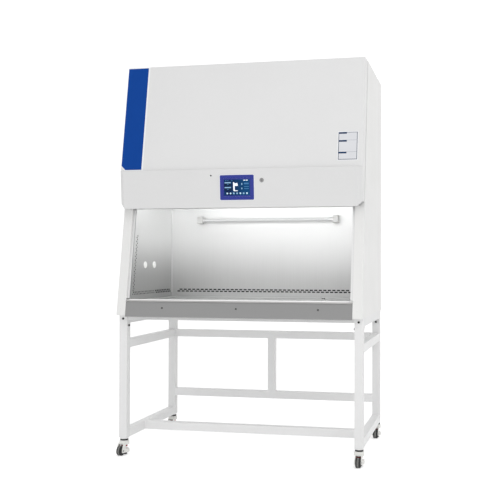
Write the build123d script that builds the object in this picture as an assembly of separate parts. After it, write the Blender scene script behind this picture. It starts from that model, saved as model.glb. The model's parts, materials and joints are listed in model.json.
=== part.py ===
"""Class II biosafety cabinet on a castered tube stand, as separate sub-parts.

Millimetres. The origin is on the floor under the middle of the cabinet, +X is to the user's right,
+Y runs to the back and +Z is up. The front plane of the body, with its two pillars and the sash, leans
back by front_slope. Pieces that lie along it are drawn in a leaning frame: x across, n back from the
front plane and s up along it. leaning() puts them in place.
"""

import os
from math import cos, radians, tan

from build123d import *

# Overall
cabinet_width = 1340
cabinet_depth = 860
cabinet_height = 2138
body_bottom = 762
front_slope = 10

# Sheet metal
skin = 2
liner = 1.5
pillar_width = 50
pillar_return = 12
rear_flange = 18
touch = 0.3

# Work chamber
lip_top = 851
tray_top = 843
rear_duct_depth = 160
ceiling_bottom = 1463

# Front cover and control band
cover_bottom = 1343
seam_z = 1546
cover_standoff = 96
cover_gap = 4
cover_reveal = 2
band_nose = 26
band_lean = 4.5
band_wall = 3
corner_cut = 27
cover_window = 32
cover_hollow_run = 30

# Display, lock and receiver on the band
display_width = 186
display_height = 132
display_drop = 98
screen_width = 150
screen_height = 96
bezel_depth = 10
bezel_proud = 2.5
bezel_round = 6
bezel_lap = 7.5
bezel_back = 3
bezel_edge = 1
screen_inset = 1.2
window_margin = 8
lock_x = 136
lock_drop = 62
lock_radius = 9
lock_collar = 4
lock_collar_proud = 2
lock_proud = 3
lock_length = 19
lock_stop = 3
lock_stop_thickness = 4
key_slot_width = 2.4
key_slot_height = 10
key_slot_depth = 6
receiver_x = -143
receiver_drop = 33
receiver_radius = 5
receiver_depth = 1.5

# Sash
glass_thickness = 5
glass_n = 14
sash_header = 231
glass_side_room = 3
rail_height = 24
rail_front_n = 10
rail_back_n = 28
rail_grip = 12
rail_round = 4
rail_end_room = 2
sash_reveal = 4
guide_width = 14
guide_wall = 3
guide_foot = 5
guide_head = 20
sash_play = 0.4
drum_radius = 28
drum_width = 24
drum_inset = 80
drum_flange = 4
shaft_radius = 8
shaft_rise = 34
shaft_end = 30
shaft_clearance = 0.05
bracket_thickness = 10
bracket_size = 32
bracket_end_room = 4
motor_x = 380
motor_length = 110
motor_radius = 34
motor_foot_length = 60
motor_foot_height = 40

# Front service panel, lamp and air path
panel_n = 34
lamp_height = 26
lamp_depth = 26
lamp_length = 1100
lamp_round = 8
lamp_drop = 4
diffuser_lap = 6
filter_height = 90
filter_front_room = 26.5
filter_rear_room = 6
supply_filter_margin = 20
plenum_front_room = 22
plenum_rear_room = 8
plenum_side_room = 60
plenum_lip_front = 50
plenum_lip_rear = 17
exhaust_length = 560
exhaust_width = 340
exhaust_room = 31.8
exhaust_frame = 24
canopy_spacing_x = 660
canopy_spacing_y = 470
canopy_hole_radius = 3.5
guard_margin = 22
guard_bars = 9
guard_rows = 5
guard_bar = 12
filter_board = 20
pleat_count = 22
pleat_paper = 8
pleat_margin = 4
scroll_radius = 150
scroll_width = 260
scroll_inlet_radius = 95
scroll_mouth_inset = 20
scroll_mouth_drop = 45
scroll_foot = 12
scroll_foot_lap = 1.8
scroll_foot_height = 24
impeller_radius = 122
impeller_width = 220
blade_count = 24
blade_depth = 26
blade_thickness = 2
blade_angle = 25
ring_width = 6
backplate_thickness = 4
hub_radius = 26
hub_length = 36
blower_motor_radius = 55
blower_motor_length = 70
blower_shaft_radius = 8
blower_bar_height = 30
blower_bar_thickness = 5
blower_bar_overlap = 25
blower_shaft_end = 14
blower_bore_room = 4

# Slots and small fittings in the chamber
slot_pitch = 27.5
slot_length = 18
slot_height = 5
slot_row_gap = 11
slot_rise = 29
slot_margin = 30
side_slot_count = 9
side_slot_setback = 30
side_slot_front = 20
port_radius = 15
port_setback = (274, 409)
port_rise = 192
port_flange = 4
port_flange_height = 5
port_flange_chamfer = 1.5
plug_length = 12
plug_play = 0.05
uv_half_length = 406
uv_tube_radius = 13
uv_holder_width = 32
uv_holder_height = 44
uv_drop = 155
uv_off_wall = 26
uv_cap_length = 22
uv_cap_step = 1
uv_holder_front = 3
uv_holder_round = 8
socket_setback = 150
socket_rise = 157
socket_width = 150
socket_height = 86
socket_depth = 12
socket_ear = 8
outlet_radius = 19
outlet_depth = 8
outlet_drop = 6
flap_thickness = 3
flap_margin = 2
flap_pin_radius = 2
flap_knuckle_radius = 4

# Tray, apron and drain
pan_floor = 2
pan_ledge = 20
pan_setback = 30
tray_side_room = 6
tray_rim_depth = 7
tray_dish_drop = 6
tray_border = 34
tray_front_border = 74
knob_inset = 216
knob_setback = 12
knob_height = 20
knob_radius = 8
knob_cap = 7
apron_drop = 6
apron_inset = 3
apron_skin = 2.5
arm_rest_height = 15
arm_rest_depth = 62
arm_rest_proud = 2.5
arm_rest_trim = 32
arm_rest_trim_depth = 14
arm_rest_round = 5
arm_rest_nose = 20
arm_rest_deck_drop = 3
tray_front_gap = 2
drain_inset = 220
drain_setback = 120
drain_pipe_radius = 10
drain_bore_radius = 7
drain_tail_length = 22
valve_radius = 17
valve_height = 22
valve_stem_radius = 4
valve_drop = 12
valve_boss = 6
valve_boss_wall = 3
valve_stem_seat = 4
lever_length = 62
lever_width = 14
lever_thickness = 4
lever_round = 6.3
lever_stem = 7

# Rear inlet
inlet_inset = 200
inlet_drop = 178
inlet_width = 48
inlet_height = 30
inlet_depth = 34
inlet_wall_x = 6
inlet_wall_z = 5
inlet_recess = 18
inlet_pin_spacing = 7
inlet_pin_width = 2
inlet_pin_height = 4
inlet_pin_length = 14
inlet_earth_rise = 3
inlet_pole_drop = 2

# Hinges of the front cover
hinge_inset = 190
knuckle_radius = 5
hinge_pin_radius = 3
knuckle_length = 20
knuckle_end_gap = 0.3
hinge_leaf = 2
hinge_leaf_depth = 22

# Stand
tube = 45
tube_wall = 2.5
leg_bottom = 93
leg_foot = 12
foot_plate_radius = 22.5
foot_plate = 6
stand_front_setback = 42
stand_rear_setback = 30
front_rail_height = 25
front_rail_setback = 6
upper_rail_drop = 180
mid_rail_bottom = 212
cross_rail_setback = 258
gusset_size = 38
gusset_thickness = 4
gusset_web = 7
bolt_radius = 6
bolt_head = 6
bolt_side_drop = 57
bolt_front_drop = 20
bolt_rear_drop = 68

# Levelling casters
wheel_radius = 26
wheel_width = 26
wheel_bore = 5
tyre_round = 4
tyre_wall = 6
hub_wall = 4
hub_recess = 2
axle_play = 0.05
caster_offset = 37.6
wheel_room = 1.5
cheek_reach = 11
cheek_drop = 6
cheek_shoulder = 16
cheek_nose = 8
cheek_heel = 10
cheek_roof = 5
cheek_root = 14
cheek_round = 6
cheek_thickness = 4
cheek_gap = 1.5
housing_radius = 27
housing_bottom = 56
housing_top = 78
housing_round = 6
collar_radius = 28
collar_bottom = 14
collar_height = 20
collar_round = 4
housing_seat = 8
ring_radius = 22.3
ring_chamfer = 2
stud_radius = 6
stud_length = 28
stud_head = 3
screw_radius = 5
screw_play = 0.05
screw_engagement = 5
dial_radius = 17.5
dial_bottom = 44
dial_height = 9
dial_notches = 16
notch_radius = 2
notch_offset = 0.6
pad_radius = 16
pad_height = 7
pad_lift = 3
pad_chamfer = 3
caster_turn = {"front_left": 172, "front_right": 180, "rear_left": 180, "rear_right": 180}

# Worked out from the driving dimensions
half_width = cabinet_width / 2
front_y = -cabinet_depth / 2
rear_y = cabinet_depth / 2
roof_top = cabinet_height
slope = radians(front_slope)
inner_half = half_width - pillar_width
skin_y = skin / cos(slope)
cover_half = half_width - cover_reveal
back_wall_y = rear_y - rear_duct_depth
rear_slot_z = tray_top + slot_rise
port_y = [front_y + setback for setback in port_setback]
port_z = tray_top + port_rise
socket_y = back_wall_y - socket_setback
socket_z = tray_top + socket_rise
uv_z = ceiling_bottom - uv_drop
drain_x = drain_inset - half_width
drain_y = back_wall_y - drain_setback
knob_x = half_width - knob_inset
inlet_x = half_width - inlet_inset
inlet_z = cabinet_height - inlet_drop
drum_x = inner_half - drum_inset
hinge_x = (hinge_inset - half_width, 0, half_width - hinge_inset)
stand_front = front_y + stand_front_setback
stand_rear = rear_y - stand_rear_setback
cross_rail_y = stand_front + cross_rail_setback
upper_rail_bottom = body_bottom - upper_rail_drop
leg_x = half_width - tube / 2
leg_y = (stand_front + tube / 2, stand_rear - tube / 2)
frame_bottom = body_bottom - tube
bolt_side_z = body_bottom - bolt_side_drop
bolt_front_z = body_bottom - bolt_front_drop
bolt_rear_z = body_bottom - bolt_rear_drop
supply_bottom = ceiling_bottom + skin
supply_top = supply_bottom + filter_height
exhaust_top = roof_top - skin
exhaust_bottom = exhaust_top - filter_height


def front_at(z):
    """Y of the leaning front plane at height z."""
    return front_y + (z - body_bottom) * tan(slope)


def up_slope(z):
    """Distance s up the leaning front plane to height z."""
    return (z - body_bottom) / cos(slope)


def panel_back(z):
    """Y of the service panel's back at height z."""
    return front_at(z) + (panel_n + skin) / cos(slope)


exhaust_y = panel_back(roof_top) + exhaust_room + exhaust_frame + exhaust_width / 2
supply_filter_front = panel_back(supply_top) + filter_front_room


def leaning(shape):
    """Moves a shape from the leaning frame (x, n, s) to its place."""
    return Pos(0, front_y, body_bottom) * Rot(-front_slope, 0, 0) * shape


def block(x, y, z):
    """A box between two values on each axis."""
    size = [high - low for low, high in (x, y, z)]
    middle = [(high + low) / 2 for low, high in (x, y, z)]
    return Pos(*middle) * Box(*size)


def across(points, x):
    """A (y, z) outline carried across from one x to another."""
    face = Plane.YZ.offset(x[0]) * Polygon(*points, align=None)
    return extrude(face, x[1] - x[0], dir=(1, 0, 0))


def rod(axis, start, radius, length):
    """A cylinder from start along +X, +Y or +Z."""
    turn = {"X": Rot(0, 90, 0), "Y": Rot(-90, 0, 0), "Z": Rot(0, 0, 0)}[axis]
    foot = (Align.CENTER, Align.CENTER, Align.MIN)
    return Pos(*start) * turn * Cylinder(radius, length, align=foot)


def mirrored(shape):
    """The same piece on the other side of the cabinet."""
    return mirror(shape, about=Plane.YZ)


def spread(low, high, pitch):
    """Evenly pitched centres between two limits."""
    count = int((high - low) // pitch)
    first = (low + high) / 2 - pitch * (count - 1) / 2
    return [first + pitch * i for i in range(count)]


parts = {}


# ---------------------------------------------------------------- body shell
def side_panel():
    """Right outer side with its front pillar, the pillar's return and a bottom flange."""
    top_front = front_at(roof_top)
    outline = [(front_y, body_bottom), (rear_y, body_bottom), (rear_y, roof_top), (top_front, roof_top)]
    panel = across(outline, (half_width - skin, half_width))

    def strip(depth, x, top):
        near = [(front_y, body_bottom), (front_y + depth, body_bottom)]
        far = [(front_at(top) + depth, top), (front_at(top), top)]
        return across(near + far, x)

    panel += strip(skin_y, (inner_half, half_width), roof_top)
    panel += strip(pillar_return, (inner_half, inner_half + skin), roof_top - skin)
    panel += block((inner_half, half_width), (front_y + skin, rear_y), (body_bottom, body_bottom + skin))
    return panel


parts["right_side_panel"] = side_panel()
parts["left_side_panel"] = mirrored(side_panel())


def rear_panel():
    """Back of the body, let in between the side panels, with the power inlet's window."""
    edge = half_width - skin
    low, high = body_bottom + skin, roof_top - skin
    panel = block((-edge, edge), (rear_y - skin, rear_y), (low, high))
    for side in (-1, 1):
        fold = block((edge - skin, edge), (rear_y - rear_flange, rear_y), (low, high))
        panel += fold if side > 0 else mirrored(fold)
    window = block(
        (inlet_x - inlet_width / 2, inlet_x + inlet_width / 2),
        (rear_y - 2 * skin, rear_y + skin),
        (inlet_z - inlet_height / 2, inlet_z + inlet_height / 2),
    )
    return panel - window


parts["rear_panel"] = rear_panel()


def exhaust_window(margin, z):
    """The exhaust outlet's rectangle, larger by margin all round."""
    half_x, half_y = exhaust_length / 2 + margin, exhaust_width / 2 + margin
    return block((-half_x, half_x), (exhaust_y - half_y, exhaust_y + half_y), z)


def roof_panel():
    """Roof with the exhaust opening and the holes of an exhaust canopy round it."""
    edge = half_width - skin
    front = front_at(roof_top) + skin_y
    roof = block((-edge, edge), (front, rear_y - skin), (roof_top - skin, roof_top))
    roof -= exhaust_window(0, (roof_top - 2 * skin, roof_top + skin))
    for x in (-canopy_spacing_x / 2, canopy_spacing_x / 2):
        for y in (-canopy_spacing_y / 2, canopy_spacing_y / 2):
            roof -= rod("Z", (x, exhaust_y + y, roof_top - 2 * skin), canopy_hole_radius, 4 * skin)
    return roof


parts["roof_panel"] = roof_panel()


def exhaust_guard():
    """Slotted plate that lies over the exhaust opening."""
    plate = exhaust_window(guard_margin, (roof_top, roof_top + skin))
    column = exhaust_length / guard_bars
    row = exhaust_width / guard_rows
    for i in range(guard_bars):
        for j in range(guard_rows):
            x = -exhaust_length / 2 + column * (i + 0.5)
            y = exhaust_y - exhaust_width / 2 + row * (j + 0.5)
            hole = (column - guard_bar, row - guard_bar)
            plate -= block(
                (x - hole[0] / 2, x + hole[0] / 2),
                (y - hole[1] / 2, y + hole[1] / 2),
                (roof_top - skin, roof_top + 2 * skin),
            )
    return plate


parts["exhaust_guard"] = exhaust_guard()


# ---------------------------------------------------------------- pan, tray, apron
pan_half = inner_half - touch
pan_front = front_at(lip_top) + pan_setback
pan_rear = rear_y - skin - rear_flange - touch
pan_top = tray_top - tray_rim_depth
pan_bottom = body_bottom + skin


def base_pan():
    """Drain pan that closes the bottom, with ledges that carry the tray."""
    pan = block((-pan_half, pan_half), (pan_front, pan_rear), (pan_bottom, pan_top))
    inside = (-pan_half + liner, pan_half - liner), (pan_front + liner, pan_rear - liner)
    pan -= block(*inside, (pan_bottom + pan_floor, pan_top + 1))
    for side in (-1, 1):
        ledge = block(
            (pan_half - pan_ledge, pan_half), (pan_front, pan_rear), (pan_top - liner, pan_top)
        )
        pan += ledge if side > 0 else mirrored(ledge)
    pan -= rod("Z", (drain_x, drain_y, pan_bottom - 1), drain_pipe_radius, pan_floor + 2)
    return pan


parts["base_pan"] = base_pan()

rest_front = front_at(lip_top) - arm_rest_proud
rest_back = rest_front + arm_rest_depth
tray_front = rest_back + tray_front_gap
tray_rear = back_wall_y - tray_side_room
tray_half = inner_half - liner - tray_side_room


def work_tray():
    """Lift-out work tray: raised border, sunk dish, intake slots along the front and a lift knob."""
    tray = block((-tray_half, tray_half), (tray_front, tray_rear), (pan_top, tray_top))
    tray -= block(
        (-tray_half + liner, tray_half - liner),
        (tray_front + liner, tray_rear - liner),
        (pan_top - 1, tray_top - liner),
    )
    dish = (
        (-tray_half + tray_border, tray_half - tray_border),
        (tray_front + tray_front_border, tray_rear - tray_border),
    )
    floor_z = tray_top - tray_dish_drop
    tray += block(*dish, (floor_z - liner, tray_top))
    inner = [(low + liner, high - liner) for low, high in dish]
    tray -= block(*inner, (floor_z, tray_top + 1))
    middle = tray_front + tray_front_border / 2
    for row, shift in ((-1, 0), (1, slot_pitch / 2)):
        y = middle + row * slot_row_gap
        for x in spread(-tray_half + tray_border, tray_half - tray_border, slot_pitch):
            at = x + shift
            tray -= block(
                (at - slot_length / 2, at + slot_length / 2),
                (y - slot_height / 2, y + slot_height / 2),
                (tray_top - 2 * liner, tray_top + 1),
            )
    knob_y = tray_front + knob_setback
    knob = rod("Z", (knob_x, knob_y, tray_top - liner), knob_radius / 2, knob_height + liner)
    knob += rod("Z", (knob_x, knob_y, tray_top + knob_height - knob_cap), knob_radius, knob_cap)
    return tray + knob


parts["work_tray"] = work_tray()


def front_apron():
    """Dark lower front panel between the pillars, with a hem under the body and a fold at the top."""
    half = inner_half - touch
    top = up_slope(lip_top) - arm_rest_height - touch
    low = -apron_drop
    apron = block((-half, half), (apron_inset, apron_inset + apron_skin), (low, top))
    apron += block((-half, half), (apron_inset, pillar_return), (top - apron_skin, top))
    apron = leaning(apron)
    hem = (front_y + apron_inset + apron_skin / 2, pan_front - touch)
    apron += block((-half, half), hem, (body_bottom, body_bottom + apron_skin))
    return apron


parts["front_apron"] = front_apron()


def arm_rest():
    """Rounded lip over the apron that carries the forearms, with its ends trimmed to the pillars."""
    half = inner_half - touch
    top_s = up_slope(lip_top)
    nose = block((-half, half), (-arm_rest_proud, arm_rest_nose), (top_s - arm_rest_height, top_s))
    lip = leaning(nose)
    edge = lip.edges().filter_by(Axis.X).sort_by(Axis.Y)[:2]
    lip = fillet(edge, arm_rest_round)
    deck_top = lip_top - arm_rest_deck_drop
    deck_front = rest_front + arm_rest_nose - arm_rest_round - arm_rest_proud
    lip += block((-half, half), (deck_front, rest_back), (deck_top - apron_skin, deck_top))
    lip += block((-half, half), (rest_back - apron_skin, rest_back), (pan_top, deck_top))
    for side in (-1, 1):
        points = [
            (side * (half + 1), rest_front - 1),
            (side * (half - arm_rest_trim), rest_front - 1),
            (side * (half + 1), rest_front + arm_rest_trim_depth),
        ]
        low = lip_top - 2 * arm_rest_height
        lip -= extrude(Pos(0, 0, low) * Polygon(*points, align=None), 3 * arm_rest_height, dir=(0, 0, 1))
    return lip


parts["arm_rest"] = arm_rest()


# ---------------------------------------------------------------- chamber liner
liner_bottom = pan_top


def slot_rows(low, high, z):
    """Spans and heights of two staggered rows of slots between two limits."""
    cut = []
    for row, shift in ((0, 0), (1, slot_pitch / 2)):
        for at in spread(low, high - slot_pitch / 2, slot_pitch):
            span = (at + shift - slot_length / 2, at + shift + slot_length / 2)
            level = z + row * slot_row_gap
            rise = (level - slot_height / 2, level + slot_height / 2)
            cut.append((span, rise))
    return cut


def inner_back_wall():
    """Stainless back of the chamber, with the return-air slots near the tray."""
    half = inner_half
    wall = block((-half, half), (back_wall_y, back_wall_y + liner), (liner_bottom, ceiling_bottom))
    for span, rise in slot_rows(-half + slot_margin, half - slot_margin, rear_slot_z):
        wall -= block(span, (back_wall_y - 1, back_wall_y + 2 * liner), rise)
    return wall


parts["inner_back_wall"] = inner_back_wall()

wall_front_n = rail_back_n + 4
wall_foot_front = front_at(lip_top) + arm_rest_depth + tray_front_gap


def inner_side_wall(right):
    """Stainless side of the chamber, sloped to the sash, with return slots low down."""
    offset = wall_front_n / cos(slope)
    outline = [
        (wall_foot_front, liner_bottom),
        (back_wall_y, liner_bottom),
        (back_wall_y, ceiling_bottom),
        (front_at(ceiling_bottom) + offset, ceiling_bottom),
        (front_at(lip_top) + offset, lip_top),
        (wall_foot_front, lip_top),
    ]
    wall = across(outline, (inner_half - liner, inner_half))
    low = front_at(rear_slot_z) + offset + side_slot_front
    for i in range(side_slot_count):
        at = back_wall_y - side_slot_setback - slot_pitch * i
        if at - slot_length < low:
            break
        for row in (0, 1):
            level = rear_slot_z + row * slot_row_gap
            shift = row * slot_pitch / 2
            wall -= block(
                (inner_half - 2 * liner, inner_half + liner),
                (at - shift - slot_length / 2, at - shift + slot_length / 2),
                (level - slot_height / 2, level + slot_height / 2),
            )
    if right:
        return wall
    for y in port_y:
        wall -= rod("X", (inner_half - 2 * liner, y, port_z), port_radius, 3 * liner)
    return mirrored(wall)


parts["inner_right_wall"] = inner_side_wall(True)
parts["inner_left_wall"] = inner_side_wall(False)


def service_port_plugs():
    """White stoppers in the two service ports of the left wall."""
    face = -inner_half + liner
    plugs = []
    for y in port_y:
        plug = rod("X", (face - plug_length, y, port_z), port_radius - plug_play, plug_length)
        cap = rod("X", (face, y, port_z), port_radius + port_flange, port_flange_height)
        rim = cap.edges().filter_by(GeomType.CIRCLE).sort_by(Axis.X)[-1:]
        plugs.append(plug + chamfer(rim, port_flange_chamfer))
    return Compound(children=plugs)


parts["service_port_plugs"] = service_port_plugs()


def diffuser_panel():
    """Ceiling of the chamber under the supply filter."""
    return block(
        (-inner_half + liner, inner_half - liner),
        (supply_filter_front - diffuser_lap, back_wall_y + liner),
        (ceiling_bottom, ceiling_bottom + skin),
    )


parts["diffuser_panel"] = diffuser_panel()


def pleated_filter(x, y, z):
    """Framed filter: four boards round a pack of pleated paper."""
    left, right = x[0] + filter_board, x[1] - filter_board
    near, far = y[0] + filter_board, y[1] - filter_board
    frame = block(x, y, z) - block((left, right), (near, far), (z[0] - 1, z[1] + 1))
    half_pitch = (right - left) / (2 * pleat_count)
    fold_low, fold_high = z[0] + pleat_margin, z[1] - pleat_margin - pleat_paper
    folds = []
    for i in range(2 * pleat_count + 1):
        folds.append((left + half_pitch * i, fold_high if i % 2 else fold_low))
    edge = folds + [(at, level + pleat_paper) for at, level in reversed(folds)]
    pack = Pos(0, far, 0) * Rot(90, 0, 0) * Polygon(*edge, align=None)
    return frame + extrude(pack, far - near, dir=(0, -1, 0))


def hepa_filters():
    """Supply filter over the chamber and exhaust filter under the roof."""
    half = inner_half - supply_filter_margin
    supply = pleated_filter(
        (-half, half), (supply_filter_front, back_wall_y - filter_rear_room), (supply_bottom, supply_top)
    )
    reach_x = exhaust_length / 2 + exhaust_frame
    reach_y = exhaust_width / 2 + exhaust_frame
    exhaust = pleated_filter(
        (-reach_x, reach_x),
        (exhaust_y - reach_y, exhaust_y + reach_y),
        (exhaust_bottom, exhaust_top),
    )
    return Compound(children=[supply, exhaust])


parts["hepa_filters"] = hepa_filters()

plenum_front = panel_back(exhaust_bottom) + plenum_front_room
plenum_rear = back_wall_y - plenum_rear_room


def plenum_box():
    """Pressure plenum between the two filters, open below and through its top."""
    half = inner_half - plenum_side_room
    box = block((-half, half), (plenum_front, plenum_rear), (supply_top, exhaust_bottom))
    box -= block(
        (-half + skin, half - skin),
        (plenum_front + skin, plenum_rear - skin),
        (supply_top - 1, exhaust_bottom - skin),
    )
    outlet = block(
        (-exhaust_length / 2, exhaust_length / 2),
        (plenum_front + plenum_lip_front, plenum_rear - plenum_lip_rear),
        (exhaust_bottom - 2 * skin, exhaust_bottom + skin),
    )
    return box - outlet


parts["plenum_box"] = plenum_box()

scroll_y = plenum_rear - skin - scroll_radius - scroll_foot
scroll_z = (supply_top + exhaust_bottom) / 2


def blower_scroll():
    """Blower housing with an inlet on each side, blowing down, footed on the plenum's back."""
    half = scroll_width / 2

    def body(inset, x):
        shell = rod("X", (-x, scroll_y, scroll_z), scroll_radius - inset, 2 * x)
        mouth = (scroll_y - scroll_radius + inset, scroll_y - scroll_mouth_inset)
        mouth_bottom = scroll_z - scroll_radius - scroll_mouth_drop - inset
        return shell + block((-x, x), mouth, (mouth_bottom, scroll_z))

    scroll = body(0, half) - body(skin, half - skin)
    scroll -= block(
        (-half + skin, half - skin),
        (scroll_y - scroll_radius + skin, scroll_y - scroll_mouth_inset - skin),
        (scroll_z - scroll_radius - 2 * scroll_mouth_drop, scroll_z - scroll_radius),
    )
    scroll -= rod("X", (-half - 1, scroll_y, scroll_z), scroll_inlet_radius, scroll_width + 2)
    foot_front = scroll_y + scroll_radius - scroll_foot_lap
    foot_z = (scroll_z - scroll_foot_height / 2, scroll_z + scroll_foot_height / 2)
    scroll += block((-half, half), (foot_front, plenum_rear - skin), foot_z)
    return scroll


parts["blower_scroll"] = blower_scroll()


def blower_motor():
    """Motor in the left inlet, on a bar across the housing's side."""
    side = -scroll_width / 2
    start = side - blower_motor_length
    motor = rod("X", (start, scroll_y, scroll_z), blower_motor_radius, blower_motor_length)
    reach = scroll_inlet_radius + blower_bar_overlap
    motor += block(
        (side - blower_bar_thickness, side),
        (scroll_y - reach, scroll_y + reach),
        (scroll_z - blower_bar_height / 2, scroll_z + blower_bar_height / 2),
    )
    bore = blower_shaft_radius + shaft_clearance
    bore_start = start + blower_shaft_end - blower_bore_room
    return motor - rod("X", (bore_start, scroll_y, scroll_z), bore, blower_motor_length)


parts["blower_motor"] = blower_motor()


def blower_impeller():
    """Forward-curved wheel with its backplate, end rings, blades and shaft."""
    half = impeller_width / 2
    centre = Pos(0, scroll_y, scroll_z)
    wheel = rod("X", (-backplate_thickness / 2, 0, 0), impeller_radius, backplate_thickness)
    ring_inner = impeller_radius - blade_depth / 2
    for x in (-half, half - ring_width):
        ring = rod("X", (x, 0, 0), impeller_radius, ring_width)
        wheel += ring - rod("X", (x - 1, 0, 0), ring_inner, ring_width + 2)
    radius = impeller_radius - blade_depth / 2 - 1
    blade = block(
        (-half, half),
        (-blade_thickness / 2, blade_thickness / 2),
        (radius - blade_depth / 2, radius + blade_depth / 2),
    )
    for i in range(blade_count):
        lean_back = Pos(0, 0, radius) * Rot(blade_angle, 0, 0) * Pos(0, 0, -radius)
        wheel += Rot(360 / blade_count * i, 0, 0) * lean_back * blade
    wheel += rod("X", (-hub_length / 2, 0, 0), hub_radius, hub_length)
    shaft_start = -scroll_width / 2 - blower_motor_length + blower_shaft_end
    wheel += rod("X", (shaft_start, 0, 0), blower_shaft_radius, blower_shaft_end - shaft_start)
    return centre * wheel


parts["blower_impeller"] = blower_impeller()


# ---------------------------------------------------------------- sash
sash_low = up_slope(cover_bottom) + sash_reveal
glass_low = sash_low + rail_height - rail_grip
glass_high = up_slope(roof_top) - sash_header
glass_half = inner_half - guide_wall - glass_side_room
guide_inner = inner_half - guide_width
guide_low = up_slope(lip_top) + guide_foot
guide_high = glass_high + guide_head


def sash_glass():
    """Sliding front window."""
    pane = block(
        (-glass_half, glass_half),
        (glass_n, glass_n + glass_thickness),
        (glass_low, glass_high),
    )
    return leaning(pane)


parts["sash_glass"] = sash_glass()


def sash_rail():
    """Bottom handle rail, grooved for the glass."""
    half = guide_inner - rail_end_room
    rail = block((-half, half), (rail_front_n, rail_back_n), (sash_low, sash_low + rail_height))
    rail = fillet(rail.edges().filter_by(Axis.X).sort_by(Axis.Z)[:2], rail_round)
    rail -= block(
        (-half - 1, half + 1),
        (glass_n, glass_n + glass_thickness),
        (glass_low, sash_low + rail_height + 1),
    )
    return leaning(rail)


parts["sash_rail"] = sash_rail()


def sash_guides():
    """A grooved channel inside each pillar that the glass slides in."""
    near = glass_n - sash_play
    far = glass_n + glass_thickness + sash_play
    channel = block(
        (guide_inner, inner_half),
        (near - guide_wall, far + guide_wall),
        (guide_low, guide_high),
    )
    channel -= block((guide_inner - 1, inner_half - guide_wall), (near, far), (guide_low - 1, guide_high + 1))
    right = leaning(channel)
    return Compound(children=[right, mirrored(right)])


parts["sash_guides"] = sash_guides()

shaft_n = glass_n + glass_thickness / 2 - drum_radius
shaft_s = glass_high + shaft_rise
shaft_reach = drum_x + drum_width / 2 + shaft_end


def sash_shaft():
    """Lift shaft with a winding drum over each end of the glass."""
    shaft = rod("X", (-shaft_reach, shaft_n, shaft_s), shaft_radius, 2 * shaft_reach)
    for x in (-drum_x, drum_x):
        shaft += rod("X", (x - drum_width / 2, shaft_n, shaft_s), drum_radius, drum_width)
        for edge in (x - drum_width / 2 - drum_flange, x + drum_width / 2):
            shaft += rod("X", (edge, shaft_n, shaft_s), drum_radius + drum_flange, drum_flange)
    return leaning(shaft)


parts["sash_shaft"] = sash_shaft()


def sash_motor():
    """Gear motor round the lift shaft, with the two end bearings, all on the service panel."""
    bore = shaft_radius + shaft_clearance
    half = bracket_size / 2
    foot_x = (motor_x - motor_foot_length / 2, motor_x + motor_foot_length / 2)
    foot_s = (shaft_s - motor_foot_height / 2, shaft_s + motor_foot_height / 2)
    end = shaft_reach - bracket_end_room
    pieces = []
    for x in (-end, end - bracket_thickness):
        arm = block((x, x + bracket_thickness), (shaft_n - half, panel_n), (shaft_s - half, shaft_s + half))
        pieces.append(arm - rod("X", (x - 1, shaft_n, shaft_s), bore, bracket_thickness + 2))
    motor = rod("X", (motor_x - motor_length / 2, shaft_n, shaft_s), motor_radius, motor_length)
    motor += block(foot_x, (shaft_n, panel_n), foot_s)
    motor -= rod("X", (motor_x - motor_length, shaft_n, shaft_s), bore, 2 * motor_length)
    pieces.append(motor)
    return Compound(children=[leaning(piece) for piece in pieces])


parts["sash_motor"] = sash_motor()


lamp_top = ceiling_bottom + lamp_height + lamp_drop


def service_panel():
    """Inner front panel behind the cover, from the lamp to the roof."""
    edge = inner_half - touch
    near = panel_n / cos(slope)
    far = (panel_n + skin) / cos(slope)
    low, high = lamp_top, roof_top - skin
    outline = [
        (front_at(low) + near, low),
        (front_at(low) + far, low),
        (front_at(high) + far, high),
        (front_at(high) + near, high),
    ]
    panel = across(outline, (-edge, edge))
    panel += block((-edge, edge), (front_at(low) + near, supply_filter_front), (low, low + skin))
    return panel


parts["service_panel"] = service_panel()


def work_lamp():
    """Lamp over the work opening, hung under the service panel's shelf."""
    back = supply_filter_front - diffuser_lap - touch
    rise = (lamp_top - lamp_height, lamp_top)
    lamp = block((-lamp_length / 2, lamp_length / 2), (back - lamp_depth, back), rise)
    return fillet(lamp.edges().filter_by(Axis.X).sort_by(Axis.Z)[:2], lamp_round)


parts["work_lamp"] = work_lamp()


# ---------------------------------------------------------------- lamps and outlets in the chamber
uv_y = back_wall_y - uv_off_wall


def uv_lamp_holders():
    """Sockets on the back wall that carry the germicidal tube by its ends."""
    holders = []
    for side in (-1, 1):
        inner = uv_half_length
        holder = block(
            (inner, inner + uv_holder_width),
            (uv_y - uv_tube_radius - uv_holder_front, back_wall_y),
            (uv_z - uv_holder_height / 2, uv_z + uv_holder_height / 2),
        )
        holder = fillet(holder.edges().filter_by(Axis.X).sort_by(Axis.Y)[:2], uv_holder_round)
        holders.append(holder if side > 0 else mirrored(holder))
    return Compound(children=holders)


parts["uv_lamp_holders"] = uv_lamp_holders()


def uv_lamp_tube():
    """Germicidal tube with its metal end caps."""
    tube_half = uv_half_length - uv_cap_length
    lamp = rod("X", (-tube_half, uv_y, uv_z), uv_tube_radius - uv_cap_step, 2 * tube_half)
    for x in (-uv_half_length, tube_half):
        lamp += rod("X", (x, uv_y, uv_z), uv_tube_radius, uv_cap_length)
    return lamp


parts["uv_lamp_tube"] = uv_lamp_tube()

socket_face = inner_half - liner - socket_depth
flap_axis_x = socket_face - flap_knuckle_radius
flap_axis_z = socket_z + socket_height / 2 - flap_knuckle_radius - flap_margin


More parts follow.
